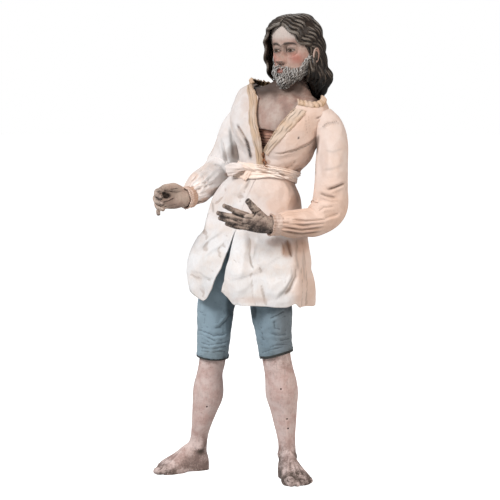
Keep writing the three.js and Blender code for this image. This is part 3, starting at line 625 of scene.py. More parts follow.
# Knee breeches of blue-grey cloth, stuffed at the hips with tow. Each leg ends below the knee in
# a turned hem that stands a little off the carved leg.
body_turn = 28  # how far the body is turned to its own right, in degrees
hip_rows = [
    [2, -15, 255.5, 20, 26], [-2, -15, 244, 22.5, 29], [-5, -15, 228, 26, 33],
    [-6, -15, 212, 25, 32], [-7, -14, 198, 17, 26],
]
breeches_legs = {
    "right": {
        "rows": [
            [-20, -7, 222, 18, 16], [-26, -6.5, 200, 18.5, 17], [-33, -6, 170, 17.5, 17],
            [-39.2, -5, 145, 16, 16.2], [-40.8, -4.5, 125, 14.8, 15],
            [-41.6, -3.5, 111, 14.2, 14], [-42.4, -2, 101.5, 14.2, 13.2],
        ],
        "turn": 45,
    },
    "left": {
        "rows": [
            [8, -24, 222, 18, 16], [8.5, -26, 200, 18.5, 17.5], [7.5, -29, 170, 18, 18],
            [7.8, -31, 145, 17, 17.4], [9.3, -31.5, 128, 15.5, 15.8],
            [10.8, -31, 115, 14.6, 14.8], [12, -30.5, 104, 14.2, 14],
        ],
        "turn": 8,
    },
}


def beside_line(pixels, points):
    """How many millimetres each point is off a line in the photograph, and its place along it.

    Points to the right hand of the line's way count as positive.
    """
    seen = in_photo(points + pose_origin)
    line = np.array(pixels, float)
    scale = camera_distance / pixels_at_one  # millimetres to a pixel
    nearest = np.full(len(points), 1e9)
    signed = np.zeros(len(points))
    place = np.zeros(len(points))
    lengths = np.hypot(*np.diff(line, axis=0).T)
    start = 0.0
    for a, b, length in zip(line[:-1], line[1:], lengths):
        way = (b - a) / length
        along = np.clip((seen - a) @ way, 0, length)
        off = seen - a - along[:, None] * way
        away = np.hypot(*off.T)
        side = np.sign(way[0] * off[:, 1] - way[1] * off[:, 0])
        closer = away < nearest
        nearest = np.where(closer, away, nearest)
        signed = np.where(closer, away * side, signed)
        place = np.where(closer, (start + along) / lengths.sum(), place)
        start += length
    return signed * scale, place


def stroke(pixels, points, reach, depth, lip=0.0, taper=0.25, stitches=0):
    """A crease along a line in the photograph, `reach` millimetres wide, with a raised lip.

    Stitches pull it in at even steps along the line.
    """
    off, place = beside_line(pixels, points)
    ends = smooth(place, 0, taper) * (1 - smooth(place, 1 - taper, 1))
    if stitches:
        ends = ends * (0.55 + 0.45 * np.cos(2 * math.pi * stitches * place))
    across = off / reach
    return ends * (-depth * np.exp(-(across**2)) + lip * np.exp(-((across - 1.7) ** 2)))


def strokes_at(strokes, points, normals, low, high):
    """The rise from several strokes, on what faces the camera: none below low, all above high."""
    front = smooth(-normals[:, 1], low, high)
    return sum(front * stroke(pixels, points, *sizes) for pixels, *sizes in strokes)


def spots_at(spots, points, normals):
    """How far each point lies in soft spots, each given by its pixel and its two radii."""
    seen = in_photo(points + pose_origin)
    front = smooth(-normals[:, 1], -0.25, 0.2)
    rise = np.zeros(len(points))
    for x, y, wide, high, *full in spots:
        away = np.hypot((seen[:, 0] - x) / wide, (seen[:, 1] - y) / high)
        rise = np.maximum(rise, (full or [1.0])[0] * (1 - smooth(away, 0.5, 1.1)))
    return rise * front


def crumple(points, size, seed, layers=2):
    """Flat facets that meet in sharp ridges, as stiffened cloth takes when it is crushed."""
    draw = np.random.default_rng(seed)
    rise = np.zeros(len(points))
    for layer in range(layers):
        step = size * 0.55**layer
        cells = points / step
        base = np.floor(cells).astype(int)
        nearest = np.full((2, len(points)), 1e9)
        table = draw.random((4096, 3))
        for dx in (-1, 0, 1):
            for dy in (-1, 0, 1):
                for dz in (-1, 0, 1):
                    cell = base + (dx, dy, dz)
                    key = (cell * (73, 157, 311)).sum(1) % 4096
                    away = np.linalg.norm(cells - cell - table[key], axis=1)
                    second = np.minimum(nearest[1], np.maximum(away, nearest[0]))
                    nearest = np.array([np.minimum(nearest[0], away), second])
        rise += (nearest[1] - nearest[0]) * step * 0.5
    return rise - rise.mean()


def cloth_paint(name, base, shade, stain, warm=(1.0, 0.9, 0.8), facet_depth=0.8):
    """Matt woven cloth: threads, soft blots of age, and painted shade in the creases."""
    paint = Paint(name)
    hollow = paint.mark("fine_hollow")
    broad = paint.mark("broad_hollow")
    dirt = paint.mark("dirt")
    blots = paint.noise(16, 4, 0.6)
    specks = paint.noise(2.2, 4, 0.7)
    slubs = paint.noise(1.0, 2, 0.6, (1.6, 1.6, 0.25))
    aged = tuple(b * w for b, w in zip(base, warm))
    paint.tone = paint.mix(paint.between(blots, 0.4, 0.7) * 0.7, base, aged)
    paint.coat(paint.between(slubs, 0.45, 0.75) * 0.1, shade)
    paint.coat(paint.between(specks, 0.6, 0.8) * 0.12, stain)
    # A peach tint: real ageing and stains, and painted warm light on the side that the warm lamp lights.
    paint.coat(paint.mark("peach_and_warm_light") * (0.65 + 0.5 * blots), (0.74, 0.53, 0.42))
    # Painted shade: the creases and broad hollows are darkened.
    crease_shade = 0.45 * paint.between(hollow, 0.66, 1.0) + 0.06 * paint.between(broad, 0.7, 1.0)
    # Painted light: marked places are lightened, as if more brightly lit.
    paint.coat(paint.mark("painted_light"), tuple(min(1.0, c * 1.22) for c in base))
    paint.coat(crease_shade, shade)
    # Painted shade: marked places are darkened.
    paint.coat(paint.mark("dusk") * 0.9, shade)
    # Real stains, and painted shade under the left arm, at the armpit, inside the collar and in the cuffs'
    # gathers.
    paint.coat(paint.mark("aged") * (0.6 + 0.5 * blots), stain)
    # One real hole, and painted shadow: dark lines along creases and gaps, under the hems and inside the
    # collar.
    paint.coat(paint.mark("hole"), (0.012, 0.01, 0.01))
    paint.coat(dirt * paint.between(blots + 0.4 * specks, 0.45, 0.95), stain)
    threads = 0
    for way in ("X", "Z"):
        sockets = {"Vector": paint.place(), "Scale": 0.45, "Distortion": 0.6}
        threads = threads + 0.5 * paint.node("TexWave", {"bands_direction": way}, sockets)
    facets = paint.node("TexVoronoi", sockets={"Vector": paint.place(), "Scale": 1 / 12})
    crushed = paint.bump(facets + blots * 0.6, facet_depth)
    relief = paint.bump(threads, 0.05, paint.bump(slubs + specks * 0.5, 0.14, crushed))
    return paint.finish(
        Base_Color=paint.tone, Roughness=0.88, Normal=relief, Specular_IOR_Level=0.12, Sheen_Weight=0.1
    )


def thinned(made, share, where=None):
    """Leaves about `share` of the faces; with `where`, only those points give way."""
    thin = made.modifiers.new("thin", "DECIMATE")
    thin.ratio = share
    if where is not None:
        group = made.vertex_groups.new(name="thin")
        group.add(np.flatnonzero(where).tolist(), 1.0, "REPLACE")
        thin.vertex_group = group.name
    applied(made)
    made.vertex_groups.clear()


def inner_half(made):
    """The points of a sheet's inner face, which come second."""
    count = len(made.data.vertices)
    return np.arange(count) >= count // 2


def opened(made, kept, thickness):
    """Keeps the faces between the kept points, and gives that cloth its thickness."""
    faces = [f.vertices[:] for f in made.data.polygons if all(kept[v] for v in f.vertices)]
    used = np.unique(np.concatenate([np.array(f) for f in faces]))
    number = np.full(len(kept), -1)
    number[used] = np.arange(len(used))
    points, _ = points_of(made)
    mesh = bpy.data.meshes.new(made.name)
    mesh.from_pydata(
        ((points[used] + pose_origin) * MM).tolist(), [], [[int(number[v]) for v in f] for f in faces]
    )
    made.data = mesh
    thicken = made.modifiers.new("thicken", "SOLIDIFY")
    thicken.thickness = thickness * MM
    thicken.offset = -1
    return applied(made)


hem_rise = 3.0  # how far the stuffing stops above a hem's lower edge
hem_height = 6.5
hem_around, hem_steps = 96, 18


def hem_roll(turn, s):
    return 0.2 + 0.15 * hump(s, 0.1, 0.12) - 0.25 * hump(s, 0.24, 0.06) + 0.12 * np.sin(5 * turn)


def hem_inside(turn, s):
    return hem_roll(turn, s) - 1.5


skins = [tube(limb(hip_rows, facing_of(body_turn), 72, 40))]
hems = []
for leg in breeches_legs.values():
    rows = np.array(leg["rows"])
    length = np.linalg.norm(np.diff(rows[:, :3], axis=0), axis=1).sum()
    stuffed = rows_at(rows, np.linspace(0, 1 - hem_rise / length, 24))
    skins.append(tube(limb(stuffed, facing_of(leg["turn"]), 72, 80)))
    band = rows_at(rows, np.linspace(1 - hem_height / length, 1, 6))
    outside, inside = (
        limb(band, facing_of(leg["turn"]), hem_around, hem_steps, form) for form in (hem_roll, hem_inside)
    )
    wall = np.concatenate([outside, inside[::-1]])
    faces = quads(len(wall) + 1, hem_around)
    count = len(wall) * hem_around
    hems.append((wall.reshape(-1, 3), [[i % count for i in face] for face in faces]))
breeches = fused(object_of("breeches", skins), 1.0, 6)
points, normals = points_of(breeches)
low = 1 - smooth(points[:, 2], 120, 175)
rise = 0.16 * crumple(points * (1, 1, 0.6), 17, 3) * (0.4 + 0.6 * low)
rise += 0.07 * crumple(points * (0.6, 0.6, 2), 17, 8) * low
knee_creases = [  # pixels along the crease, width, depth and lip in millimetres
    ([(196, 329), (205, 332), (214, 335.5), (223, 335), (230, 330)], 1.2, 0.8, 0.6),
    ([(197, 333), (205, 335.5), (212, 339.5), (218, 343)], 0.9, 0.6, 0.4),
    ([(198, 342), (209, 345), (222, 343.5), (230, 340)], 0.9, 0.6, 0.5),
    ([(199, 347), (212, 349.5), (228, 346)], 0.9, 0.6, 0.4),
    ([(232, 312), (227, 320), (220, 327), (211, 329)], 1.4, 0.6, 0.6),
    ([(224, 350.5), (213, 352), (201, 350.5)], 0.8, 0.5, 0.3),
    ([(200, 308), (205, 316), (203, 326)], 2.2, 0.4, 0.4),
    ([(269, 319), (278, 315), (286, 310.5)], 1.1, 0.9, 0.6),
    ([(273, 318), (275, 328), (283, 329.5)], 1.6, 0.5, 0.4),
    ([(267, 349.5), (278, 346.5), (291, 347)], 0.9, 0.6, 0.5),
    ([(260, 355), (271, 352), (282, 351)], 0.9, 0.5, 0.4),
    ([(279, 341), (285, 340), (291, 338)], 0.9, 0.5, 0.4),
    ([(269, 333), (278, 335.5), (289, 334)], 1.2, 0.5, 0.4),
    ([(258, 325), (262, 338), (268, 346)], 1.6, 0.4, 0.3),
]
rise += strokes_at(knee_creases, points, normals, 0.0, 0.35)
seam = hump(normals[:, 0], 1.0, 0.12) * low
points += normals * (rise - 0.3 * seam)[:, None]
set_points(breeches, points)
lids = (normals[:, 2] < -0.6) & (points[:, 2] < 118)
breeches = opened(breeches, ~lids & (points[:, 2] < 246), 1.0)
hem_object = object_of("breeches_hems", hems)
s = np.linspace(0, 1, hem_steps + 1)
# Painted shadow: the hem darkens towards its lower edge and on its inside.
edge = np.concatenate([0.95 * smooth(s, 0.02, 0.3), np.full(hem_steps + 1, 0.95)])
set_mark(hem_object, "hole", np.tile(np.repeat(edge, hem_around), len(hems)))
thigh_shadows = [  # pixels and radii, then how dark
    (232, 306, 7, 17, 0.85), (254, 312, 3.5, 9, 0.85), (229, 325, 4, 12, 0.5), (270, 305, 22, 3, 0.6),
]
for made in (breeches, hem_object):
    points, normals = points_of(made)
    tip = smooth(points[:, 0], -5, 0) * (1 - smooth(points[:, 2], 106, 122))
    slant = 1.2 + 3.2 * smooth(points[:, 0], -4, 25)
    set_points(made, points + (tip * slant)[:, None] * upward)
    mark_relief(made)
    # Painted light: the right leg is lightened.
    set_mark(made, "painted_light", 1 - smooth(points[:, 0], -24, -12))
    set_mark(made, "dirt", 0.12 + 0.3 * (1 - smooth(points[:, 2], 103, 116)))
    # Painted shade: the shadows between and under the thighs, and on the left leg's outer side.
    outer_side_shade = 0.45 * smooth(points[:, 0], 6, 20)
    set_mark(made, "dusk", np.maximum(spots_at(thigh_shadows, points, normals), outer_side_shade))
    # A faint peach tint on the left leg's outer side.
    set_mark(made, "peach_and_warm_light", 0.1 * smooth(points[:, 0], 6, 20))
breeches_paint = cloth_paint(
    "breeches_paint", (0.215, 0.285, 0.33), (0.035, 0.05, 0.062), (0.1, 0.1, 0.08), (0.75, 0.78, 0.8), 1.8
)
thinned(breeches, 0.56, inner_half(breeches))
settle(breeches, breeches_paint, ["breeches"])
settle(hem_object, breeches_paint)

# The trunk is wire bound with tow. It shows only as a reddish brown roll in the neck opening,
# under the breast plate. The rows give the form of the dressed body, from the neck to the hem.
body_rows = [  # height, middle x and y, half width, half depth, turn in degrees, lean
    [327.5, 22, -13, 31, 19, 27, -0.22], [321, 18.5, -14, 38.5, 22, 27, -0.22],
    [311.5, 16.5, -15, 42.5, 24, 27, -0.2], [300, 12, -16, 41, 25.5, 27, -0.18],
    [286, 10, -17, 36, 26, 28, -0.17], [274, 9.8, -17, 30.5, 24, 28, -0.18],
    [265, 6.5, -16.5, 25.5, 21.2, 28, -0.19], [257, 3.5, -16, 23.5, 20, 28, -0.2],
    [246, -0.5, -15, 32, 24.5, 28, -0.19], [234, -3.5, -14, 36.5, 28.5, 28, -0.16],
    [218, -5, -14, 40.5, 32, 28, -0.12], [200, -8, -14, 46, 35, 28, -0.1],
    [183, -11, -14, 51, 38, 28, -0.08], [167, -11, -14, 52, 38.5, 28, -0.07],
    [150, -8, -14, 48.5, 37.5, 28, -0.05],
]
last_row = len(body_rows) - 1
waist_place = 7 / last_row


def body_point(angle, place, out):
    """Round the body: angle 0 is in front and grows to the figure's left; place 1 is the hem."""
    height, x, y, half_width, half_depth, turn, lean = np.moveaxis(
        rows_at(body_rows, np.asarray(place, float)), -1, 0
    )
    turn = np.radians(turn)
    aside = np.sin(angle) * (half_width + out)
    ahead = np.cos(angle) * (half_depth + out)
    px = x + np.cos(turn) * aside - np.sin(turn) * ahead
    py = y - np.sin(turn) * aside - np.cos(turn) * ahead
    return np.stack([px, py, height + lean * (px - x)], -1)


def body_skin(first, last, inward, around=120, steps=60, relief=None):
    """A closed skin that follows the body from one place to another, `inward` inside its form."""
    angle = full_turn(around)[None]
    place = np.linspace(first, last, steps)[:, None]
    more = relief(angle, place) if relief else 0
    shell = body_point(angle, place, more - inward)
    lids = []
    for row in (shell[0], shell[-1]):
        middle = row.mean(0)
        lids.append(np.array([middle + (row - middle) * share for share in (0.25, 0.6, 0.9)]))
    return tube(np.concatenate([lids[0], shell, lids[1][::-1]]))


def tow_paint():
    paint = Paint("tow_paint")
    strands = paint.noise(0.9, 3, 0.6, (0.35, 0.35, 2.2))
    blots = paint.noise(7, 3)
    paint.tone = paint.mix(paint.between(blots, 0.35, 0.7), (0.4, 0.21, 0.155), (0.46, 0.27, 0.2))
    paint.coat(paint.between(strands, 0.45, 0.7) * 0.6, (0.16, 0.075, 0.055))
    # Painted shade: the hollows between the turns of tow are darkened.
    paint.coat(paint.between(paint.mark("fine_hollow"), 0.6, 1.0), (0.06, 0.025, 0.02))
    return paint.finish(
        Base_Color=paint.tone, Roughness=0.9, Normal=paint.bump(strands, 0.35), Specular_IOR_Level=0.1
    )


def tow_turns(angle, place):
    return 0.35 * np.sin(520 * place + 3 * np.sin(angle)) + 0.25 * np.sin(7 * angle + 160 * place)


trunk_top = 1.85 / last_row
trunk = object_of("trunk", [body_skin(trunk_top, waist_place, 5.4, 140, 90, tow_turns)])
mark_relief(trunk)
thinned(trunk, 0.3)
settle(trunk, tow_paint(), ["trunk"])

# The head, neck and breast plate are one piece of fired and painted clay, with glass eyes and a
# modelled beard and hair. The plate sits on the trunk and is sewn in under the shirt.
head_centre = np.array([28.5, -19.5, 363])
head_turn = 40
head_nod = math.radians(-3)
skull_rows = [  # up, reach to the front, reach to the back, half width
    [27.5, 0.5, 0.5, 0.5], [26.5, 8, 11, 9], [23.5, 14.5, 18, 15.5], [17.5, 18.5, 22.5, 19.2],
    [9, 20, 24, 20.2], [0.5, 19.5, 24, 19.5], [-7, 19.5, 22, 18.5], [-14.5, 20.5, 15, 16.8],
    [-20, 21.5, 8, 14.6], [-26, 20.5, 1, 11], [-30.5, 15.5, -3, 7], [-32, 9, -5, 1],
]
eye_aside, eye_ahead, eye_up, eye_radius = 7.5, 12.9, -1.4, 4.5
lid_half, lid_rise, lid_fall = 3.9, 1.0, 1.0  # half an eye's opening, and above and below
lip_line = -17.3


def head_way(left, forward, up):
    """A direction in the head, as parts to its left, forward and up."""
    left, forward, up = (
        v[..., None].astype(float) for v in np.broadcast_arrays(left, forward, up)
    )
    ahead = forward * math.cos(head_nod) - up * math.sin(head_nod)
    rise = forward * math.sin(head_nod) + up * math.cos(head_nod)
    return left * left_of(head_turn) + ahead * facing_of(head_turn) + rise * upward


def head_point(left, forward, up):
    return head_centre + head_way(left, forward, up)


def behind_jaw(up, ahead):
    """1 behind the jaw's edge, which runs from under the ears forward to the chin."""
    jaw_edge = np.interp(up, [-31, -26, -20, -14], [17, 11, 4.6, -2])
    return (1 - smooth(ahead - jaw_edge, -2.5, 2.5)) * smooth(-up, 12, 15)


def beard_cover(x, up, ahead):
    """1 where the beard grows: jaw, chin and upper lip, but not the lips."""
    side = np.abs(x)
    across = [0, 5, 7.5, 10, 13, 15.5, 17.5, 19.5]
    edge = np.interp(side, across, [-13.6, -13.8, -14.8, -15.8, -14.6, -11, -6, 0])
    jaw = smooth(edge - up, -0.6, 1.2) * smooth(ahead, -2, 3) * (1 - behind_jaw(up, ahead))
    lips = 1 - smooth(np.hypot(x / 5.4, (up - lip_line + 0.5) / 2.1), 0.85, 1.15)
    return jaw * (1 - lips)


def brow_height(side):
    return 2.9 + 1.2 * np.sin(math.pi * np.clip(side / 14, 0, 1))


face_forms = [  # how far each form rises, then its middle and reach to the side and up
    (-2.5, 7.4, 4.6, -1, 3.4),  # the eye sockets
    (2.7, 3.5, 1.4, -10.5, 1.7), (-0.5, 5.2, 0.6, -10.4, 1.9),  # the nose's wings and their grooves
    (-2.2, 1.9, 0.8, -12.2, 0.6), (-0.35, 0, 0.9, -14.3, 1.3),  # nostrils, groove of the upper lip
    (1.1, 0, 7, -17, 5), (-0.6, 6.2, 1.0, lip_line, 1.1),  # round the mouth, and its corners
    (-0.9, 0, 5, -21, 1.3), (1.8, 0, 6, -26, 3.8),  # under the lip, and the chin
    (1.2, 11.5, 4, -6.5, 3.6), (-1.0, 11.5, 4, -15, 4),  # cheekbones, and the cheeks below them
    (-0.6, 17, 3, 6, 5),  # temples
]


def face_relief(x, up):
    """How far the features stand forward of the plain skull."""
    side = np.abs(x)
    rise = 1.3 * hump(up - brow_height(side), 0, 2.0) * hump(side, 6, 5.5)
    for height, aside, wide, middle, high in face_forms:
        rise += height * hump(side, aside, wide) * hump(up, middle, high)
    bridge = smooth(-up, -2.5, 9.6) ** 1.1 * (1 - smooth(-up, 10.3, 12.6))
    width = 1.9 + 1.0 * smooth(-up, 4, 9.5)
    rise += (0.9 * hump(up, 1, 3) + 6.9 * bridge) * np.exp(-((side / width) ** 2.4))
    rise += hump(up, lip_line + 1.1, 0.85) * (1 - smooth(side, 3.6, 5.8))
    rise += 1.3 * hump(up, lip_line - 1.4, 1.1) * (1 - smooth(side, 2.6, 5))
    rise -= 1.2 * hump(up, lip_line + 0.12 * np.cos(side), 0.33) * (1 - smooth(side, 4.6, 6.2))
    fold = 5.2 + 0.5 * (-11 - up)
    rise -= 0.45 * hump(side, fold, 0.8) * smooth(-up, 10, 12.5) * (1 - smooth(-up, 15.5, 18))
    return rise


around, lines = 300, 262
turn = np.linspace(-math.pi, math.pi, around, endpoint=False)
turn = (turn - 0.58 * np.sin(turn))[None]
place = np.interp(np.linspace(0, 1, lines), [0, 0.12, 1], [0, 3 / 11, 1])[:, None]
up, front, back, half_width = np.moveaxis(rows_at(skull_rows, place), -1, 0)
x = np.sin(turn) * half_width
ahead = np.cos(turn) * np.where(np.cos(turn) > 0, front, back)
facing = smooth(np.cos(turn), 0.02, 0.3)
up = up + 0 * turn
ahead = ahead + face_relief(x, up) * facing
x = x * (1 - 0.45 * behind_jaw(up, ahead) * smooth(-up, 13, 22))
cover = beard_cover(x, up, ahead)
ahead = ahead + 0.7 * cover * smooth(ahead, 2, 12)
x = x + 0.6 * cover * np.sign(x) * smooth(np.abs(x), 4, 12)
off = np.abs(x) - eye_aside
drop = up - eye_up
ball = eye_ahead + np.sqrt(np.maximum((eye_radius + 0.75) ** 2 - off**2 - drop**2, 0))
near_eye = (1 - smooth(np.hypot(off / 5.4, drop / 3.9), 0.5, 1.75)) * (ahead > 5)
ahead = ahead + (ball - ahead) * near_eye
across = np.clip(off / lid_half, -1, 1)
arch = np.cos(math.pi / 2 * across)
top_lid = eye_up + lid_rise * arch**0.8 + 0.1
low_lid = eye_up - lid_fall * arch**0.9 + 0.1
inside = np.minimum(top_lid - up, up - low_lid)
opening = smooth(inside, -0.1, 0.12) * (np.abs(off) < lid_half) * (ahead > 5)
rim = hump(inside, -0.35, 0.3) * (np.abs(off) < lid_half + 0.3) * (ahead > 5)
crease = hump(up, top_lid + 1.25, 0.3) * (1 - smooth(np.abs(off), 3.4, 4.6)) * (ahead > 5)
bag = hump(up, low_lid - 1.7, 0.45) * (1 - smooth(np.abs(off), 2.5, 4.4)) * (ahead > 5)
ahead = ahead + 0.25 * rim - 0.45 * crease - 0.2 * bag
ahead = np.where(opening > 0.5, eye_ahead + 2.2, ahead)
face_grid = head_point(x, ahead, up)
head = object_of("head", [tube(face_grid)])
mark_relief(head, 3, 16, 0.12, 0.8)
side = np.abs(x)
brow = hump(up, brow_height(side) + 0.4, 1.15) * smooth(side, 1.8, 3.5) * (1 - smooth(side, 11, 13.5))
lips = (1 - smooth(np.hypot(x / 5.2, (up - lip_line + 0.2) / 2.3), 0.8, 1.05)) * (ahead > 5)
cheek = hump(side, 11.5, 4.6) * hump(up, -8, 4.6) + 0.5 * hump(side, 0, 3) * hump(up, -9, 2.5)
for name, values in (
    ("brow", brow * (ahead > 5)),
    ("lips", lips),
    ("cheek", cheek * (ahead > 5)),
    ("stubble", cover),
    ("lid_line", np.maximum(hump(inside, 0.02, 0.2), 0.75 * crease) * (np.abs(off) < 4.3) * (ahead > 5)),
    ("eye_shade", hump(off, 0, 4.6) * hump(drop, 1.6, 2.0) * (1 - opening) * (ahead > 5)),
):
    set_mark(head, name, values.ravel())
face_tints = [  # a mark on the clay, its colour and how strongly it covers
    ("cheek", (0.42, 0.12, 0.085), 0.62),
    ("eye_shade", (0.2, 0.13, 0.1), 0.5),
    ("lips", (0.4, 0.13, 0.1), 0.8),
    ("stubble", (0.16, 0.12, 0.1), 0.75),
    ("brow", (0.045, 0.032, 0.027), 0.92),
    ("lid_line", (0.05, 0.03, 0.025), 0.9),
    # Painted shadow under the jaw and the hair, with smudges, and a painted highlight.
    ("shadow_and_smudge", (0.045, 0.022, 0.014), 0.92),
    ("pale", (0.58, 0.52, 0.47), 0.65),
]
face_paint = flesh_paint(
    "face_paint", (0.41, 0.305, 0.255), (0.1, 0.076, 0.064), (0.36, 0.21, 0.165), face_tints
)
points, _ = points_of(head)
up, ahead = points[:, 2] - head_centre[2], (points - head_centre) @ facing_of(head_turn)
# The scalp under the hair is painted dark as shadow, and the upper forehead lighter as a painted highlight.
scalp = np.maximum(smooth(up, 20, 22), (1 - smooth(ahead, -6, -3)) * smooth(up, -10, -6))
set_mark(head, "shadow_and_smudge", scalp)
set_mark(head, "pale", smooth(points[:, 2], 367, 373) * (1 - scalp))
thinned(head, 0.85, ahead < 3)
settle(head, face_paint, ["head"])

# Two glass eyes, set into the hollow clay head behind the lids with a little putty. They look
# ahead and slightly down, and their whites have yellowed.


def globe(centre, axes, radii, fine=40):
    """A closed ball, given its middle, three directions and its reach along each."""
    lift = np.linspace(0.02, math.pi - 0.02, fine)[:, None]
    round_ = full_turn(fine)[None]
    parts = (np.sin(lift) * np.cos(round_), np.sin(lift) * np.sin(round_), np.cos(lift) + 0 * round_)
    grid = np.asarray(centre, float) + sum(
        (part * radius)[..., None] * np.asarray(axis, float)
        for part, radius, axis in zip(parts, radii, axes)
    )
    return tube(grid)


eye_way = unit(head_way(-0.06, 1, -0.16))
eye_side = unit(np.cross(eye_way, upward))
eye_axes = (eye_side, np.cross(eye_way, eye_side), eye_way)
eye_middles = [head_point(side * eye_aside, eye_ahead, eye_up) for side in (-1, 1)]
eyes = object_of("eyes", [globe(middle, eye_axes, (eye_radius,) * 3, 48) for middle in eye_middles])
points, _ = points_of(eyes)
near = np.array([points - middle for middle in eye_middles])
own = np.where((np.linalg.norm(near[0], axis=1) < np.linalg.norm(near[1], axis=1))[:, None], *near)
from_gaze = np.degrees(np.arccos(np.clip(unit(own) @ eye_way, -1, 1)))
set_mark(eyes, "iris", 1 - smooth(from_gaze, 23, 26))
set_mark(eyes, "pupil", 1 - smooth(from_gaze, 9.5, 11.5))
eye_paint = Paint("eye_paint")
eye_paint.tone = eye_paint.mix(eye_paint.noise(3, 3), (0.5, 0.44, 0.38), (0.36, 0.27, 0.22))
eye_paint.coat(eye_paint.mark("iris"), (0.06, 0.03, 0.016))
eye_paint.coat(eye_paint.mark("pupil"), (0.004, 0.004, 0.004))
eye_paint.finish(Base_Color=eye_paint.tone, Roughness=0.12, Coat_Roughness=0.05, IOR=1.5)
settle(eyes, eye_paint.material)

# The beard is modelled in the head's own clay, in short wavy tufts that run down and towards
# the chin. It is painted brown, worn paler on the ridges, and darkened underneath as painted shade.
tuft_draw = np.random.default_rng(41)


def grid_normals(grid, closed=False):
    """The outward way at each point of a grid of points."""
    down = np.gradient(grid, axis=0)
    if closed:
        across = (np.roll(grid, -1, 1) - np.roll(grid, 1, 1)) / 2
    else:
        across = np.gradient(grid, axis=1)
    return unit(np.cross(down, across))


def lock(path, outward, wide, deep, around=9):
    """A flattened tube along a path, with its flat side to `outward`."""
    along = unit(np.gradient(path, axis=0))
    outward = np.broadcast_to(outward, path.shape)
    depth = unit(outward - along * (along * outward).sum(-1, keepdims=True))
    side = np.cross(along, depth)
    turn = full_turn(around)
    return tube(
        path[:, None]
        + (deep[:, None] * np.cos(turn))[..., None] * depth[:, None]
        + (wide[:, None] * np.sin(turn))[..., None] * side[:, None]
    )


def tuft(start, way, outward, length, radius, bend, lift):
    """A short pointed lock that leaves a surface and waves sideways."""
    t = np.linspace(0, 1, 13)
    way = unit(way - outward * (way @ outward))
    side = np.cross(way, outward)
    wave = 0.1 * length * np.sin(2.6 * math.pi * t + bend) - 0.1 * length * math.sin(bend)
    rise = radius * 0.2 + lift * np.sin(math.pi * np.minimum(t, 0.75))
    path = start + (length * t)[:, None] * way + wave[:, None] * side + rise[:, None] * outward
    return lock(path, outward, radius * (1.02 - t**2.2), radius * 0.8 * (1.02 - t**2.2))


chosen = []
spacing = 1.4  # least distance between two tufts' roots
normal = grid_normals(face_grid, closed=True)
order = tuft_draw.permutation(np.flatnonzero((cover > 0.55).ravel()))
flat_face, flat_normal = face_grid.reshape(-1, 3), normal.reshape(-1, 3)
for index in order:
    if all(((flat_face[index] - flat_face[other]) ** 2).sum() > spacing**2 for other in chosen):
        chosen.append(index)
tufts = []
for index in chosen:
    left, height = x.ravel()[index], up.ravel()[index]
    outward = flat_normal[index]
    moustache = height > -16 and abs(left) < 8.5
    if moustache:
        way = head_way(np.sign(left) * 1.0, 0, -0.55)
        length, radius = 4.6, 0.5
    else:
        way = head_way(-0.2 * np.sign(left), 0.35, -1)
        length, radius = tuft_draw.uniform(6.5, 10), tuft_draw.uniform(0.42, 0.62)
    bend = tuft_draw.uniform(-0.4, 0.4) + 0.45 * height + 0.2 * left
    tufts.append(tuft(flat_face[index], way, outward, length, radius, bend, 0.7))
beard = fused(object_of("beard", tufts), 0.33, 1)
mark_relief(beard, 2, 8, 0.07, 0.4)


def carved_hair_paint(name, ridge, body, groove, gloss):
    """Modelled hair: dark paint left in the grooves, worn paler on the ridges, with painted highlights and
    shade.
    """
    paint = Paint(name)
    hollow = paint.mark("fine_hollow")
    blots = paint.noise(8, 3)
    fine = paint.noise(0.8, 4, 0.7)
    paint.tone = paint.mix(paint.between(blots, 0.35, 0.65), body, tuple(c * 0.6 for c in body))
    worn = paint.between(1 - hollow, 0.5, 0.9) * paint.between(fine + 0.5 * blots, 0.45, 0.95)
    paint.coat(worn, ridge)
    # Painted highlight on the ridges where the mark says.
    highlighted = paint.mark("hair_highlight") * paint.between(1 - hollow, 0.62, 1.0)
    paint.coat(highlighted, (0.36, 0.33, 0.295))
    paint.coat(paint.between(hollow, 0.5, 0.85), groove)
    # Painted shade where the deep mark says: undersides and the lowest ends.
    paint.coat(paint.mark("deep"), tuple(c * 0.5 for c in groove))
    relief = paint.bump(fine, 0.15)
    return paint.finish(Base_Color=paint.tone, Roughness=gloss, Normal=relief, Specular_IOR_Level=0.25)


_, normals = points_of(beard)
# Painted shade on the undersides of the tufts.
set_mark(beard, "deep", 0.85 * smooth(-normals[:, 2], 0.1, 0.75))
beard_paint = carved_hair_paint(
    "beard_paint", (0.5, 0.48, 0.455), (0.24, 0.215, 0.195), (0.045, 0.037, 0.031), 0.55
)
thinned(beard, 0.45)
settle(beard, beard_paint)

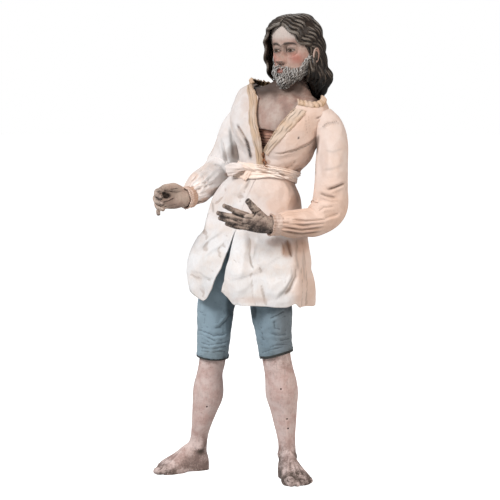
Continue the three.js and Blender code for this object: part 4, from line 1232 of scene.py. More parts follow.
# Long hair parted in the middle. It sweeps back over the temples in waves and falls behind the
# left ear to the collar; on the right it hangs beside the cheek.
hair_paths = {  # from the part to the ends: left, forward and up, for locks from front to back
    "left": [
        [(0.5, 18.8, 20.5), (6, 20.3, 17.8), (11, 18.6, 12.8), (15, 15, 6.8), (18.8, 9.8, 2.2),
         (21, 3.5, 1.2), (21, -3.5, -3.5), (19.6, -8, -13), (19.6, -10.5, -23), (20, -11.5, -35)],
        [(0.8, 12, 25), (8, 11.8, 24.8), (14.5, 9, 20.4), (18.6, 4, 14.2), (20.4, -1.5, 7.5),
         (20.4, -6.5, -1.5), (19.4, -9.5, -11), (19.8, -12.5, -21), (20.6, -14, -30), (16.5, -14, -40)],
        [(0.8, 0, 27.2), (9, -3, 26.4), (15.5, -6.5, 21), (18.6, -9.5, 12.4), (18.6, -13.5, 2),
         (17.6, -15.5, -8), (17.4, -16.8, -16), (18.4, -18, -24), (18, -18.6, -32), (13, -17, -40)],
        [(0.5, -11, 26), (2.5, -18.5, 22.5), (3, -22.5, 15.6), (3, -25, 6), (3, -25.5, -3),
         (3, -25, -11), (3, -24.5, -19), (3, -24, -26), (3, -22.5, -33), (2, -20, -39)],
    ],
    "right": [
        [(-0.5, 18.8, 20.5), (-7, 20.8, 19), (-13.5, 19.4, 15.5), (-19, 16.2, 9.5), (-22, 13.8, 2),
         (-23, 12.6, -6), (-22.8, 11.5, -13), (-22, 10, -20), (-20.8, 7.5, -26), (-19.5, 4, -31)],
        [(-0.8, 12, 25), (-8, 12.2, 24.8), (-15, 10.4, 20.8), (-20, 6.5, 13.6), (-22.8, 3, 6),
         (-24.5, 0.5, -2), (-24, -3, -11), (-22.5, -6, -20), (-21, -8.5, -28), (-19, -10.5, -35)],
        [(-0.8, 0, 27.2), (-9, -3, 26.4), (-16, -6.5, 21), (-20.2, -10, 12.4), (-21.5, -15, 2),
         (-21, -17, -8), (-20.5, -18, -16), (-20, -19, -24), (-19, -19.5, -31), (-16, -19.5, -37)],
    ],
}
hair_paths["right"].append([(-left, forward, up) for left, forward, up in hair_paths["left"][-1]])
locks_each_side = 25
lock_steps = 56
strands = [(0, 0, 1.5, 1.15), (-1.0, 0.7, 0.5, 0.55), (-0.1, 0.95, 0.5, 0.55), (0.85, 0.75, 0.5, 0.55)]
hair_draw = np.random.default_rng(7)
hair_skins = []


def lane_at(lanes, back):
    """A path between the given ones: 0 is the foremost and 1 the hindmost."""
    return np.tensordot(rows_at(np.eye(len(lanes)), np.array([back]))[0], lanes, 1)


for side_name, paths in hair_paths.items():
    keys = np.array(paths, float)
    for number in range(locks_each_side):
        back = number / (locks_each_side - 1)
        end = 1 - 0.1 * hair_draw.random() - (0.05 if number % 2 else 0)
        t = np.linspace(0, end, lock_steps)
        lanes = np.array([rows_at(key, t) for key in keys])
        path = lane_at(lanes, back)
        lateral = unit(lane_at(lanes, back + 0.05) - lane_at(lanes, back - 0.05))
        length = np.concatenate([[0], np.cumsum(np.linalg.norm(np.diff(path, axis=0), axis=1))])
        along = unit(np.gradient(path, axis=0))
        outward = np.cross(along, lateral)
        centre = np.array([0, -3, 0]) * np.ones_like(path)
        centre[:, 2] = np.minimum(path[:, 2], 12)
        outward *= np.sign((outward * (path - centre)).sum(-1, keepdims=True))
        phase = 2 * math.pi * length / 14.5 + 3.4 * back + (0.9 if number % 3 == 0 else 0)
        grown = smooth(length, 4, 16)
        lifted = 0.2 + 0.75 * grown * np.sin(phase + 1.3) + (0.5 if number % 2 else -0.2)
        path = path + (1.25 * grown * np.sin(phase))[:, None] * lateral
        path = path + lifted[:, None] * outward
        if side_name == "left":
            swing = 2.6 * hump(path[:, 2], -24, 7) * smooth(back, 0.1, 0.4)
            path = path + swing[:, None] * outward
        taper = np.sqrt(np.clip((1.0 - t / end) * 3.2, 0.12, 1)) * smooth(t, -0.02, 0.05) ** 0.5
        for aside, lift, wide, deep in strands:
            line = path + (taper * aside)[:, None] * lateral + (taper * lift)[:, None] * outward
            world = head_point(*line.T)
            hair_skins.append(lock(world, head_way(*outward.T), taper * wide, taper * deep, 8))


def hair_ground():
    """The mass under the locks: a cap on the skull, and a curtain behind the neck."""
    turn = np.linspace(-math.pi, math.pi, 90, endpoint=False)[None]
    place = np.linspace(0, 0.72, 50)[:, None]
    up, front, back, half_width = np.moveaxis(rows_at(skull_rows, place), -1, 0)
    x, ahead = np.sin(turn) * half_width, np.cos(turn) * np.where(np.cos(turn) > 0, front, back)
    hairline = np.interp(np.abs(turn), [0, 0.35, 0.7, 0.95, 1.15, 1.35], [19.5, 17.5, 12, 4, -2, -9])
    grown = smooth(up + 0 * turn, hairline - 1.5, hairline + 1.5)
    scale = 1 + (1.0 * grown - 3.5 * (1 - grown)) / np.hypot(x, ahead).clip(3)
    cap = head_point(x * scale, ahead * scale, up - 1.0 * grown * smooth(up, 10, 25))
    angle = np.radians(np.linspace(66, 292, 80))[:, None]
    drop = np.linspace(0, 1, 20)
    outer = 21.2 - 1.6 * hump(drop, 0.38, 0.22) + 1.5 * hump(drop, 0.7, 0.2) - 3.5 * smooth(drop, 0.8, 1)
    rim = np.concatenate([outer, (outer - 4.5)[::-1]])[None]
    high = np.concatenate([drop, drop[::-1]])[None]
    length = 34 + 7.5 * smooth(np.degrees(angle), 72, 100) - 9 * smooth(np.degrees(angle), 225, 285)
    curtain = head_point(np.sin(angle) * rim * 0.94, np.cos(angle) * rim - 1.5, 6 - length * high)
    return [tube(cap), tube(curtain)]


for number in range(9):
    start = np.radians(70 + 7.5 * number)
    t = np.linspace(0, 1, lock_steps)
    turn = start + 0.05 * np.sin(7 * t + number) + 0.1 * t
    reach = 21.2 + 0.9 * np.sin(2 * math.pi * (1.9 * t + 0.37 * number)) + 2.2 * hump(t, 0.68, 0.17)
    reach = reach - 4 * smooth(t, 0.8, 1)
    length = 34 + 9 * smooth(number, 0, 4)
    path = head_point(np.sin(turn) * reach * 0.94, np.cos(turn) * reach - 1.5, 4 - length * t)
    taper = np.sqrt(np.clip((1 - t) * 3.2, 0.12, 1))
    outward = head_way(np.sin(turn), np.cos(turn), 0)
    hair_skins.append(lock(path, outward, 1.9 * taper, 1.5 * taper, 10))
    beside = head_way(np.cos(turn), -np.sin(turn), 0)
    for aside in (-1.1, 0, 1.1):
        line = path + (aside * taper)[:, None] * beside + (1.15 * taper)[:, None] * outward
        hair_skins.append(lock(line, outward, 0.6 * taper, 0.6 * taper, 8))
# The left side's ends are gathered in a twist that goes down inside the collar.
t = np.linspace(0, 1, lock_steps)
twist = rows_at([[19, -16, -22], [18.5, -15.5, -29], [16.5, -14, -35], [14.5, -12.5, -41]], t)
for number in range(15):
    turn = 2 * math.pi * (number / 5 + 0.6 * t)
    side = 1.7 * (1 - 0.35 * t)
    inward = 4 * (number // 5)
    line = twist + np.stack([side * np.cos(turn) - inward, side * np.sin(turn) + 0.3 * inward, 0 * t], -1)
    girth = 2.6 - 1.1 * t**2
    hair_skins.append(lock(head_point(*line.T), head_way(np.cos(turn), np.sin(turn), 0), girth, girth, 10))
hair = fused(object_of("hair", hair_ground() + hair_skins), 0.5, 1)
mark_relief(hair, 2, 8, 0.09, 0.5)
points, normals = points_of(hair)
up = points[:, 2] - head_centre[2]
# Painted highlight on the front and top of the hair; painted shade on its undersides and lowest ends.
lit_front = smooth(-normals[:, 1], 0.1, 0.8) * smooth(up, -4, 12)
set_mark(hair, "hair_highlight", 0.03 + 0.4 * lit_front)
underside = smooth(-normals[:, 2] + 0.25 * normals[:, 1], -0.45, 0.4)
deep = smooth(-up, 28, 34) + 0.95 * smooth(-up, 2, 20) * underside
set_mark(hair, "deep", np.clip(deep, 0, 1))
hair_paint = carved_hair_paint(
    "hair_paint", (0.13, 0.1, 0.075), (0.026, 0.017, 0.012), (0.003, 0.002, 0.0015), 0.36
)
thinned(hair, 0.37)
settle(hair, hair_paint)

# The left ear is clay too, pressed on before the head was fired and painted as the skin is. It
# is half bare under the hair; the right one is hidden and has no form.
ear_middle = np.array([20.4, 1.2, -6])


def ear_place(ahead, rise, out=0.0):
    left, forward, up = ear_middle
    return head_point(left + out + 0.12 * rise - 0.1 * ahead, forward + ahead, up + rise)


def ear_ridge(first, last, reach_ahead, reach_up, radius, out, shift=(0, 0)):
    turn = np.radians(np.linspace(first, last, 14))
    centre = ear_place(shift[0] + reach_ahead * np.cos(turn), shift[1] + reach_up * np.sin(turn), out)
    return capsule([[*spot, radius, radius] for spot in centre], head_way(1, 0, 0), 12, 30)


ear_axes = (head_way(1, 0.1, 0), head_way(-0.1, 1, 0), head_way(0.12, 0, 1))
ear_skins = [
    globe(ear_place(0, 0.2), ear_axes, (1.1, 2.7, 5.4)),
    ear_ridge(-10, 262, 3.1, 5.7, 0.7, 1.3),
    ear_ridge(70, 235, 1.7, 3.6, 0.55, 1.0, (-0.3, 0.3)),
    globe(ear_place(-0.2, -5.4, 0.9), ear_axes, (1.3, 1.7, 1.5)),
    globe(ear_place(2.4, -1.2, 1.1), ear_axes, (0.8, 0.7, 1.3)),
]
ear = fused(object_of("ear", ear_skins), 0.32, 3)
mark_relief(ear)
settle(ear, face_paint)

# The neck and the breast plate are of one clay with the head. The plate ends in a rim above the
# trunk, and is tied to it under the shirt.
neck_rows = [
    [26.5, -17, 350, 11.5, 11.5], [26, -16, 337, 11, 11.5], [24, -15.5, 328, 12.5, 14.5],
    [21.5, -15.5, 317, 15, 21],
]
plate_end = 3.45 / last_row
neck_turn = head_turn * 0.7  # the neck turns part of the way with the head


def plate_slope(angle, place):
    return -7 * (1 - smooth(place, 0, 0.35 * plate_end)) ** 2 + 0 * angle


def shoulder_slope():
    """The clay between the neck and the plate's upper edge."""
    turn = full_turn(96)[None]
    share = np.linspace(0, 1, 40)[:, None]
    low = body_point(turn, 0.6 / last_row, -3.2)
    aside, ahead = left_of(neck_turn), facing_of(neck_turn)
    high = (
        np.array([25.8, -16, 341])
        + (np.sin(turn) * 10.6)[..., None] * aside
        + (np.cos(turn) * 10.6)[..., None] * ahead
    )
    reach, lift = (share**0.75)[..., None], (share**1.9)[..., None]
    flat = low + (high - low) * reach
    flat[..., 2:] = low[..., 2:] + (high - low)[..., 2:] * lift
    return tube(flat[::-1])


neck_skins = [
    tube(limb(neck_rows, facing_of(neck_turn), 64, 50)),
    shoulder_slope(),
    body_skin(0, plate_end, 1.1, 140, 60, plate_slope),
]
neck = fused(object_of("neck", neck_skins), 0.9, 9)
points, normals = points_of(neck)
neck_forms = [  # pixels along the form, width and how far it sinks
    ([(306, 74), (299, 84), (290, 95), (283, 103)], 2.8, -0.9),
    ([(311, 80), (309, 92), (303, 104)], 2.2, -0.7),
    ([(283, 96), (281, 101), (281, 105)], 2.6, 0.5),
    ([(262, 107), (270, 105), (278, 104)], 2.6, -0.8),
    ([(285, 105), (294, 108), (304, 110)], 2.6, -0.7),
    ([(272, 112), (271, 118), (272, 124)], 2.4, 0.4),
]
points += normals * strokes_at(neck_forms, points, normals, 0.0, 0.35)[:, None]
set_points(neck, points)
mark_relief(neck, 3, 10, 0.3, 1.2)
x, y = in_photo(points + pose_origin).T
# Painted shadow under the beard and the hair, with darker smudges, and a painted highlight on the plate; the
# neck is also darker higher up.
shaded = (1 - smooth(y, 86, 100)) * (1 - smooth(x, 298, 306)) + 0.85 * smooth(x, 310, 316)
smudge = 0.6 * hump(x, 262, 8) * hump(y, 94, 7) + 0.5 * hump(x, 275, 4) * hump(y, 97, 5)
smudge += 0.3 * hump(x, 285, 3) * hump(y, 108, 6) + 0.12 * smooth(y, 96, 104)
smudge += 0.4 * hump(x, 300, 7) * (1 - smooth(y, 92, 100))
set_mark(neck, "shadow_and_smudge", np.clip(shaded + smudge, 0, 1))
set_mark(neck, "pale", 0.4 * hump(x, 273, 7) * hump(y, 112, 11))
set_mark(neck, "dirt", 0.2 + 0.4 * smooth(points[:, 2], 314, 332))
thinned(neck, 0.6)
settle(neck, face_paint)

# The long shirt of stiffened white linen. It is one sheet that runs from the front edge at the
# neck opening round the back to the other front edge; the edges meet at the waist and part
# again below it in a slit. The sash holds it at the waist.
linen = 1.0  # thickness of the stiffened linen


def shirt_fold(angle, place):
    below = smooth(place, waist_place, 1)
    above = smooth(waist_place - place, 0.08, 0.22)
    skirt = 1 + np.sin(7 * angle + 0.6) + 0.6 * np.sin(12 * angle + 2 - 3 * place)
    bodice = 1 + np.sin(5 * angle + 9 * place) * np.sin(8 * place + 2 * angle)
    return below * 2.4 * np.maximum(skirt, 0) + above * 0.5 * bodice


def shirt_front(x, z):
    """The angle and place on the shirt's front that are seen at a side position and height."""
    x, z = np.broadcast_arrays(np.asarray(x, float), np.asarray(z, float))
    top, bottom = np.zeros(x.shape), np.ones(x.shape)
    for _ in range(24):
        place = (top + bottom) / 2
        _, centre, _, half_width, half_depth, turn, _ = np.moveaxis(rows_at(body_rows, place), -1, 0)
        across = half_width * np.cos(np.radians(turn))
        back = half_depth * np.sin(np.radians(turn))
        aside = np.clip((x - centre) / np.hypot(across, back), -0.98, 0.98)
        angle = np.arcsin(aside) + np.arctan2(back, across)
        low = body_point(angle, place, shirt_fold(angle, place) + linen)[..., 2] <= z
        bottom = np.where(low, place, bottom)
        top = np.where(low, top, place)
    return angle, place


right_edge = [  # seen from the front: side position and height down the figure's right edge
    (-7.0, 331), (-2.6, 323), (-5.2, 312), (-4.6, 304), (-2.2, 292), (0.3, 268), (-4, 257),
    (-10, 244), (-16, 228), (-20.5, 214), (-27, 196), (-34, 180), (-40.5, 163), (-46.5, 146.5),
]
left_edge = [
    (30.5, 321), (30, 318), (26, 312), (13.7, 297.5), (2.4, 279), (0.9, 268), (-3.6, 257),
    (-9.8, 244), (-15.8, 228), (-20.3, 214), (-25.5, 190), (-30.5, 170), (-33.5, 161),
]
left_hem = [
    (-33.5, 161), (-27, 156), (-22, 149.5), (-10, 147), (8, 146), (18, 146.5), (21.5, 150),
    (24, 152), (27.5, 147), (32, 145.5), (38, 146.5),
]
right_hem = [(-62.5, 174), (-57.5, 165), (-53, 158.5), (-48.8, 154), (-46.5, 146.5)]


def edge_angle(edge, place):
    angles, places = shirt_front(*np.array(edge, float).T)
    order = np.argsort(places)
    return np.interp(place, places[order], angles[order])


def hem_place(share):
    """How far down the hem lies, by the share of the way round from the left front edge."""
    shares, found = [], []
    for hem, whole_turn in ((left_hem, 0), (right_hem, 2 * math.pi)):
        angles, places = shirt_front(*np.array(hem, float).T)
        first, last = edge_angle(left_edge, places), edge_angle(right_edge, places)
        shares.append((angles + whole_turn - first) / (2 * math.pi + last - first))
        found.append(places)
    shares = np.concatenate([shares[0], [0.3, 0.5, 0.68], shares[1]])
    found = np.concatenate([found[0], [1.0, 0.97, found[1][0]], found[1]])
    return np.interp(share, shares, found)


def crinkled(grid, held, swell, stiffness, closed=False):
    """The grid as its cloth settles, when the cloth is a little large for its form.

    The cloth is simulated large, so that it folds as finely as thin linen does. `held` says how
    firmly each point keeps its place, from 0 to 1.
    """
    enlarged, frames = 8, 18
    cap = 2.4  # how far a point may go from its place, in millimetres
    rows, columns = grid.shape[:2]
    mesh = bpy.data.meshes.new("settling")
    large = (grid.reshape(-1, 3) * MM * enlarged).tolist()
    mesh.from_pydata(large, [], quads(rows, columns, closed))
    cloth_object = placed("settling", mesh)
    group = cloth_object.vertex_groups.new(name="held")
    for level in np.unique(np.round(held, 1)):
        if level > 0:
            members = np.flatnonzero(np.round(held.ravel(), 1) == level).tolist()
            group.add(members, float(level), "REPLACE")
    cloth = cloth_object.modifiers.new("cloth", "CLOTH")
    for name, value in (
        ("quality", 6), ("mass", 0.25), ("tension_stiffness", 14), ("compression_stiffness", 14),
        ("shear_stiffness", 8), ("bending_stiffness", stiffness), ("vertex_group_mass", "held"),
        ("pin_stiffness", 6), ("shrink_min", -swell),
    ):
        setattr(cloth.settings, name, value)
    cloth.settings.effector_weights.gravity = 0.15
    cloth.collision_settings.use_collision = False
    for frame_number in range(1, frames + 1):
        bpy.context.scene.frame_set(frame_number)
    graph = bpy.context.evaluated_depsgraph_get()
    settled = np.zeros(rows * columns * 3, np.float32)
    cloth_object.evaluated_get(graph).data.vertices.foreach_get("co", settled)
    bpy.context.scene.frame_set(1)
    bpy.data.objects.remove(cloth_object)
    moved = settled.reshape(grid.shape) / MM / enlarged - grid
    far = np.linalg.norm(moved, axis=-1, keepdims=True)
    return grid + moved * (cap * np.tanh(far / cap) / np.maximum(far, 1e-6))


def finer(grid, times, closed=False):
    """The same sheet with more points, on smooth curves through the old ones."""
    rows, columns = grid.shape[:2]
    down = rows_at(grid.reshape(rows, -1), np.linspace(0, 1, times * (rows - 1) + 1))
    down = down.reshape(-1, columns, 3).swapaxes(0, 1)
    if closed:
        ring = np.concatenate([down[-1:], down, down[:2]])
        spots = (1 + np.arange(columns * times) / times) / (len(ring) - 1)
        across = rows_at(ring.reshape(len(ring), -1), spots)
    else:
        spots = np.linspace(0, 1, times * (columns - 1) + 1)
        across = rows_at(down.reshape(columns, -1), spots)
    return across.reshape(len(spots), -1, 3).swapaxes(0, 1)


def sheet_skin(outer, inner, closed=False):
    """A closed skin from the two faces of a sheet, with its open edges joined."""
    rows, columns = outer.shape[:2]
    count = rows * columns
    faces = np.array(quads(rows, columns, closed))
    both = faces.tolist() + (faces[:, ::-1] + count).tolist()
    index = np.arange(count).reshape(rows, columns)
    if closed:
        rims = [index[0], index[-1, ::-1]]
    else:
        rims = [np.concatenate([index[0], index[1:, -1], index[-1, -2::-1], index[-2:0:-1, 0]])]
    for rim in rims:
        after = np.roll(rim, -1)
        both += np.stack([after, rim, rim + count, after + count], -1).tolist()
    return np.concatenate([outer.reshape(-1, 3), inner.reshape(-1, 3)]), [face[::-1] for face in both]


def fold(pixels, points, steep, slope, height):
    """A crisp fold along a line in the photograph, steep on its right hand, sloping on its left."""
    off, place = beside_line(pixels, points)
    ends = smooth(place, 0, 0.3) * (1 - smooth(place, 0.7, 1))
    return ends * height * np.exp(-np.abs(off) / np.where(off > 0, steep, slope))


def creased(grid, creases, closed=False, folds=()):
    """The grid with creases and folds pressed into the side that faces the camera."""
    points, normals = grid.reshape(-1, 3), grid_normals(grid, closed).reshape(-1, 3)
    front = smooth(-normals[:, 1], -0.05, 0.3)
    rise = strokes_at(creases, points, normals, -0.05, 0.3)
    rise = rise + sum(front * fold(pixels, points, *sizes) for pixels, *sizes in folds)
    return grid + (normals * rise[:, None]).reshape(grid.shape)


def cloth_piece(name, grid, thickness, closed=False, dirt=0.12):
    """A sheet whose outer face is the grid, with its inner face `thickness` further in."""
    inner = grid - grid_normals(grid, closed) * thickness
    made = object_of(name, [sheet_skin(grid, inner, closed)])
    mark_relief(made, 2, 9, 0.14, 0.9)
    set_mark(made, "dirt", dirt)
    return made


def neck_place(angle):
    """How far down the neckline lies: it has slipped at the figure's left front."""
    return 1.1 / last_row * (1 - smooth(angle, math.radians(50), math.radians(115)))


columns, lines = 126, 90
evenly = np.linspace(0, 1, columns)[None]
share = evenly - 0.06 * np.sin(2 * math.pi * evenly)  # the front has more points than the back
down = np.linspace(0, 1, lines)[:, None]
first, last = edge_angle(left_edge, 0.02), edge_angle(right_edge, 0.02)
top = neck_place(first + share * (2 * math.pi + last - first))
place = top + down * (hem_place(share[0])[None] - top)
first, last = edge_angle(left_edge, place), edge_angle(right_edge, place)
angle = first + share * (2 * math.pi + last - first)
grid = body_point(angle, place, shirt_fold(angle, place) + linen)
normals = grid_normals(grid)
skirt = smooth(place, waist_place, waist_place + 0.15)
crush = crumple(grid.reshape(-1, 3), 34, 11, 1).reshape(place.shape)
grid = grid + normals * (crush * (0.05 + 0.1 * skirt))[..., None]
edges = np.maximum(1 - smooth(share, 0, 0.03), smooth(share, 0.97, 1))
held = np.maximum.reduce([
    hump(place, waist_place, 0.03) + 0 * share,
    1 - smooth(down, 0.0, 0.06) + 0 * share,
    edges + 0 * skirt,
    0.35 * (1 - skirt),
    0.6 * smooth(down, 0.97, 1) + 0 * share,
])
settled = crinkled(grid, np.clip(held, 0, 1), 0.035, 20)
grid = finer(grid + (settled - grid) * (0.2 + 0.2 * skirt)[..., None], 2)
shirt_creases = [  # pixels along the crease; its width, depth and lip in millimetres
    ([(272, 153), (281, 154), (296, 149.6), (309.6, 143), (317.8, 134.7)], 0.8, 1.6, 0.4),
    ([(266, 158), (278, 160), (290, 157.5), (303, 152)], 2.0, 0.4, 0.3),
    ([(315, 119), (322, 117), (329.5, 112.5)], 0.9, 1.4, 0.7),
    ([(237, 124), (238.7, 128), (247.4, 143), (251.5, 160)], 0.9, 2.4, 0.4, 0.12),
    ([(290, 174), (297, 171), (304, 168)], 1.0, 1.3, 0.8),
    ([(284, 170), (291, 166), (297, 160)], 1.2, 0.8, 0.6),
    ([(229, 120), (232, 132), (240, 146), (246, 160)], 1.8, 1.2, 0.8),
    ([(307, 113), (288.8, 129.7), (266.4, 148)], 1.0, 1.0, 0.6),
    ([(305.5, 115), (306, 124), (307.5, 135)], 0.5, 0.5, 0.2, 0.1, 14),
    ([(308.5, 115), (309, 124), (310, 133)], 0.5, 0.4, 0.2, 0.1, 14),
    ([(316, 143), (314, 150), (311, 158), (305, 166)], 1.4, 1.4, 0.6),
    ([(248, 233), (250.5, 241), (249.5, 254.6), (251, 264.6), (255.5, 270.4)], 1.4, 0.7, 0.0),
    ([(203, 226), (207, 240), (205, 256)], 3.2, 1.2, 0.7),
    ([(287, 238), (289.5, 248), (293, 259)], 1.4, 2.4, 1.0),
    ([(282, 243), (284, 250), (283, 257)], 0.8, 0.8, 0.3),
    ([(297, 264), (296, 276), (290, 288), (283, 298)], 1.8, 1.8, 0.6),
    ([(227, 184), (222, 196), (214, 206)], 1.6, 1.4, 0.8),
    ([(250, 178), (246, 188), (240, 200), (236, 208)], 2.0, 0.9, 0.5),
    ([(262, 177), (266, 188), (272, 199)], 2.0, 0.4, 0.3),
    ([(281, 183), (284, 192), (283, 203)], 2.0, 0.3, 0.2),
]
shirt_folds = [  # pixels along the fold; its steep side, its slope and its height in millimetres
    ([(274, 151.5), (283, 152.5), (297, 147.6), (310, 141), (318, 132.7)], 0.8, 4.5, 1.3),
    ([(251, 160), (246, 143), (237, 128), (235, 123)], 0.7, 3.5, 1.5),
    ([(316, 118), (323, 116), (330, 111.5)], 0.7, 3.0, 0.7),
    ([(238, 290), (243, 264), (246, 246), (243, 229)], 3.0, 7.0, 1.6),
    ([(257, 234), (256.5, 250), (259, 262), (267, 275)], 2.0, 8.0, 1.8),
    ([(242, 274), (254, 270.5), (263, 264), (269, 253)], 1.6, 7.0, 0.8),
    ([(270, 303), (279, 292.5), (287, 284), (294, 266)], 1.3, 6.0, 1.5),
    ([(200, 270), (211, 254), (223, 242), (237, 232)], 2.0, 8.0, 1.5),
    ([(192, 256), (202, 245), (213, 236), (229, 226)], 1.8, 7.0, 1.1),
    ([(188, 270), (198, 275), (207, 277.5), (214, 276)], 1.0, 5.0, 0.9),
    ([(301, 304), (303, 282), (301, 262), (298, 242)], 2.0, 4.0, 1.6),
    ([(309, 303), (308.5, 284), (306, 262)], 1.5, 3.0, 1.0),
    ([(232, 208), (239, 194), (247, 177)], 1.4, 4.0, 1.0),
    ([(277, 203), (279, 190), (276, 180)], 1.2, 4.0, 0.6),
]
shirt = cloth_piece("shirt", creased(grid, shirt_creases, False, shirt_folds), linen)
points, normals = points_of(shirt)
# Stains, with painted shade under the left arm; the shirt is also darker higher up.
shirt_stains_and_shade = [  # pixels and radii of the darker places, then how dark
    (287, 249, 7, 11, 0.9), (300, 246, 13, 8, 0.55), (276, 242, 12, 6, 0.5), (268, 162, 3.5, 3, 0.8),
    (262, 158, 2, 6, 0.6), (279, 206, 16, 10, 0.3), (264, 152, 2, 4, 0.6), (256, 100, 4, 8, 0.4),
    (250, 300, 22, 4, 0.3), (289, 180, 9, 5, 0.25), (245, 104, 7, 12, 0.42), (252, 246, 6, 9, 0.2),
]
darker_higher_up = 0.26 * smooth(points[:, 2], 186, 250)
set_mark(shirt, "aged", np.maximum(spots_at(shirt_stains_and_shade, points, normals), darker_higher_up))
# Painted shade along the darkest creases and gaps.
shirt_gaps = [  # pixels along the darkest creases, their width and how dark they are
    ([(243, 134), (247.5, 143), (251.6, 162)], 1.1, 1.0),
    ([(236, 123), (239, 128), (245, 137)], 0.8, 0.6),
    ([(285, 153.5), (296, 150.5), (309.6, 144), (317.8, 135.5)], 0.6, 0.6),
    ([(318, 134), (317, 145), (314.5, 155)], 1.5, 0.8),
    ([(228.5, 124), (230, 140), (233, 160)], 1.3, 0.6),
    ([(302, 170), (296, 173), (289, 175)], 0.7, 0.45),
    ([(315, 119), (322, 117), (329, 112.8)], 0.5, 0.5),
    ([(285, 239), (288, 248), (291.5, 258)], 1.0, 0.5),
    ([(250, 254), (250.5, 263), (254.5, 271)], 0.7, 0.3),
    ([(257.5, 242), (254.5, 254), (251.5, 262)], 0.8, 0.2),
    ([(226, 281.5), (245, 277), (260, 272), (268, 264)], 0.8, 0.2),
    ([(266, 266), (276, 259), (284, 255)], 0.8, 0.15),
    ([(276, 299), (285, 290), (292, 278), (291, 263)], 0.9, 0.3),
    ([(273, 302), (283, 293), (294, 288)], 0.8, 0.25),
    ([(297, 242), (296, 256), (299, 272)], 1.0, 0.35),
    ([(304, 244), (303, 262), (305, 284)], 0.9, 0.25),
    ([(212, 201), (213, 207), (213.5, 214)], 0.8, 0.4),
    ([(199, 252), (210, 240), (224, 231)], 0.9, 0.2),
    ([(203, 259), (213, 250), (228, 245)], 0.8, 0.15),
    ([(190, 271), (200, 273), (209, 279), (217, 278)], 0.8, 0.25),
    ([(252.5, 173), (249, 181), (244, 191)], 0.9, 0.45),
    ([(290, 181), (296, 192), (299, 205)], 1.2, 0.3),
    ([(283, 179), (289, 188), (290, 199)], 0.9, 0.18),
]


def dark_lines(lines_at, points, normals):
    """How dark each point is painted as shade, from lines in the photograph, each with its width and
    darkness.
    """
    return -strokes_at(lines_at, points, normals, -0.4, -0.1)


def warm_side(points):
    """How far the linen is painted peach, as aged colour and as painted warm light: most at the figure's
    left and above the waist.
    """
    x, z = points[:, 0], points[:, 2]
    upper = smooth(x, -24, 30) * smooth(z, 203, 238)
    side = smooth(x, 18, 33) * (1 - smooth(z, 205, 231))
    return np.clip(0.08 + 0.8 * upper + 0.75 * side, 0, 1)


stained = spots_at([(279, 205, 19, 14, 0.75)], points, normals)
set_mark(shirt, "peach_and_warm_light", np.maximum(warm_side(points), stained))
# A real hole in the linen, then painted shadow inside the collar and along the darkest creases.
hole = spots_at([(298.6, 138, 1.1, 1.2)], points, normals)
hole = hole + spots_at([(256, 85, 5, 3.2, 0.9)], points, np.array([[0, -1.0, 0]]))
set_mark(shirt, "hole", np.clip(hole + dark_lines(shirt_gaps, points, normals), 0, 1))
linen_paint = cloth_paint(
    "linen_paint", (0.77, 0.765, 0.76), (0.3, 0.215, 0.165), (0.42, 0.25, 0.17), (1.0, 0.93, 0.87), 1.5
)
thinned(shirt, 0.56, inner_half(shirt))
settle(shirt, linen_paint, ["shirt"])

# The neck opening is faced with turned bands of unbleached linen: a straight one on the right,
# and one on the left that folds open as a lapel.
lapel_edges = {
    "right_lapel": (
        [(-6.6, 333), (-3.4, 322), (-3.9, 311), (-3.6, 303), (-1.4, 291), (0.6, 278), (1.2, 265)],
        [(-12.4, 333), (-10.2, 322), (-10.4, 311), (-10, 300), (-7.4, 288), (-5.2, 276), (-4.2, 264)],
    ),
    "left_lapel": (
        [(26.2, 313), (19.8, 306), (12.9, 297.5), (6.6, 287), (1.6, 277)],
        [(36.5, 310.5), (29.5, 302), (22, 293.5), (13, 284), (4.5, 273.5)],
    ),
}
trim_paint = cloth_paint("trim_paint", (0.63, 0.5, 0.41), (0.24, 0.15, 0.105), (0.42, 0.26, 0.12))


def mark_faces(made, name, outer, inner):
    """Gives a sheet a named value at each point of its outer and of its inner face."""
    set_mark(made, name, np.concatenate([np.ravel(outer), np.ravel(inner)]))


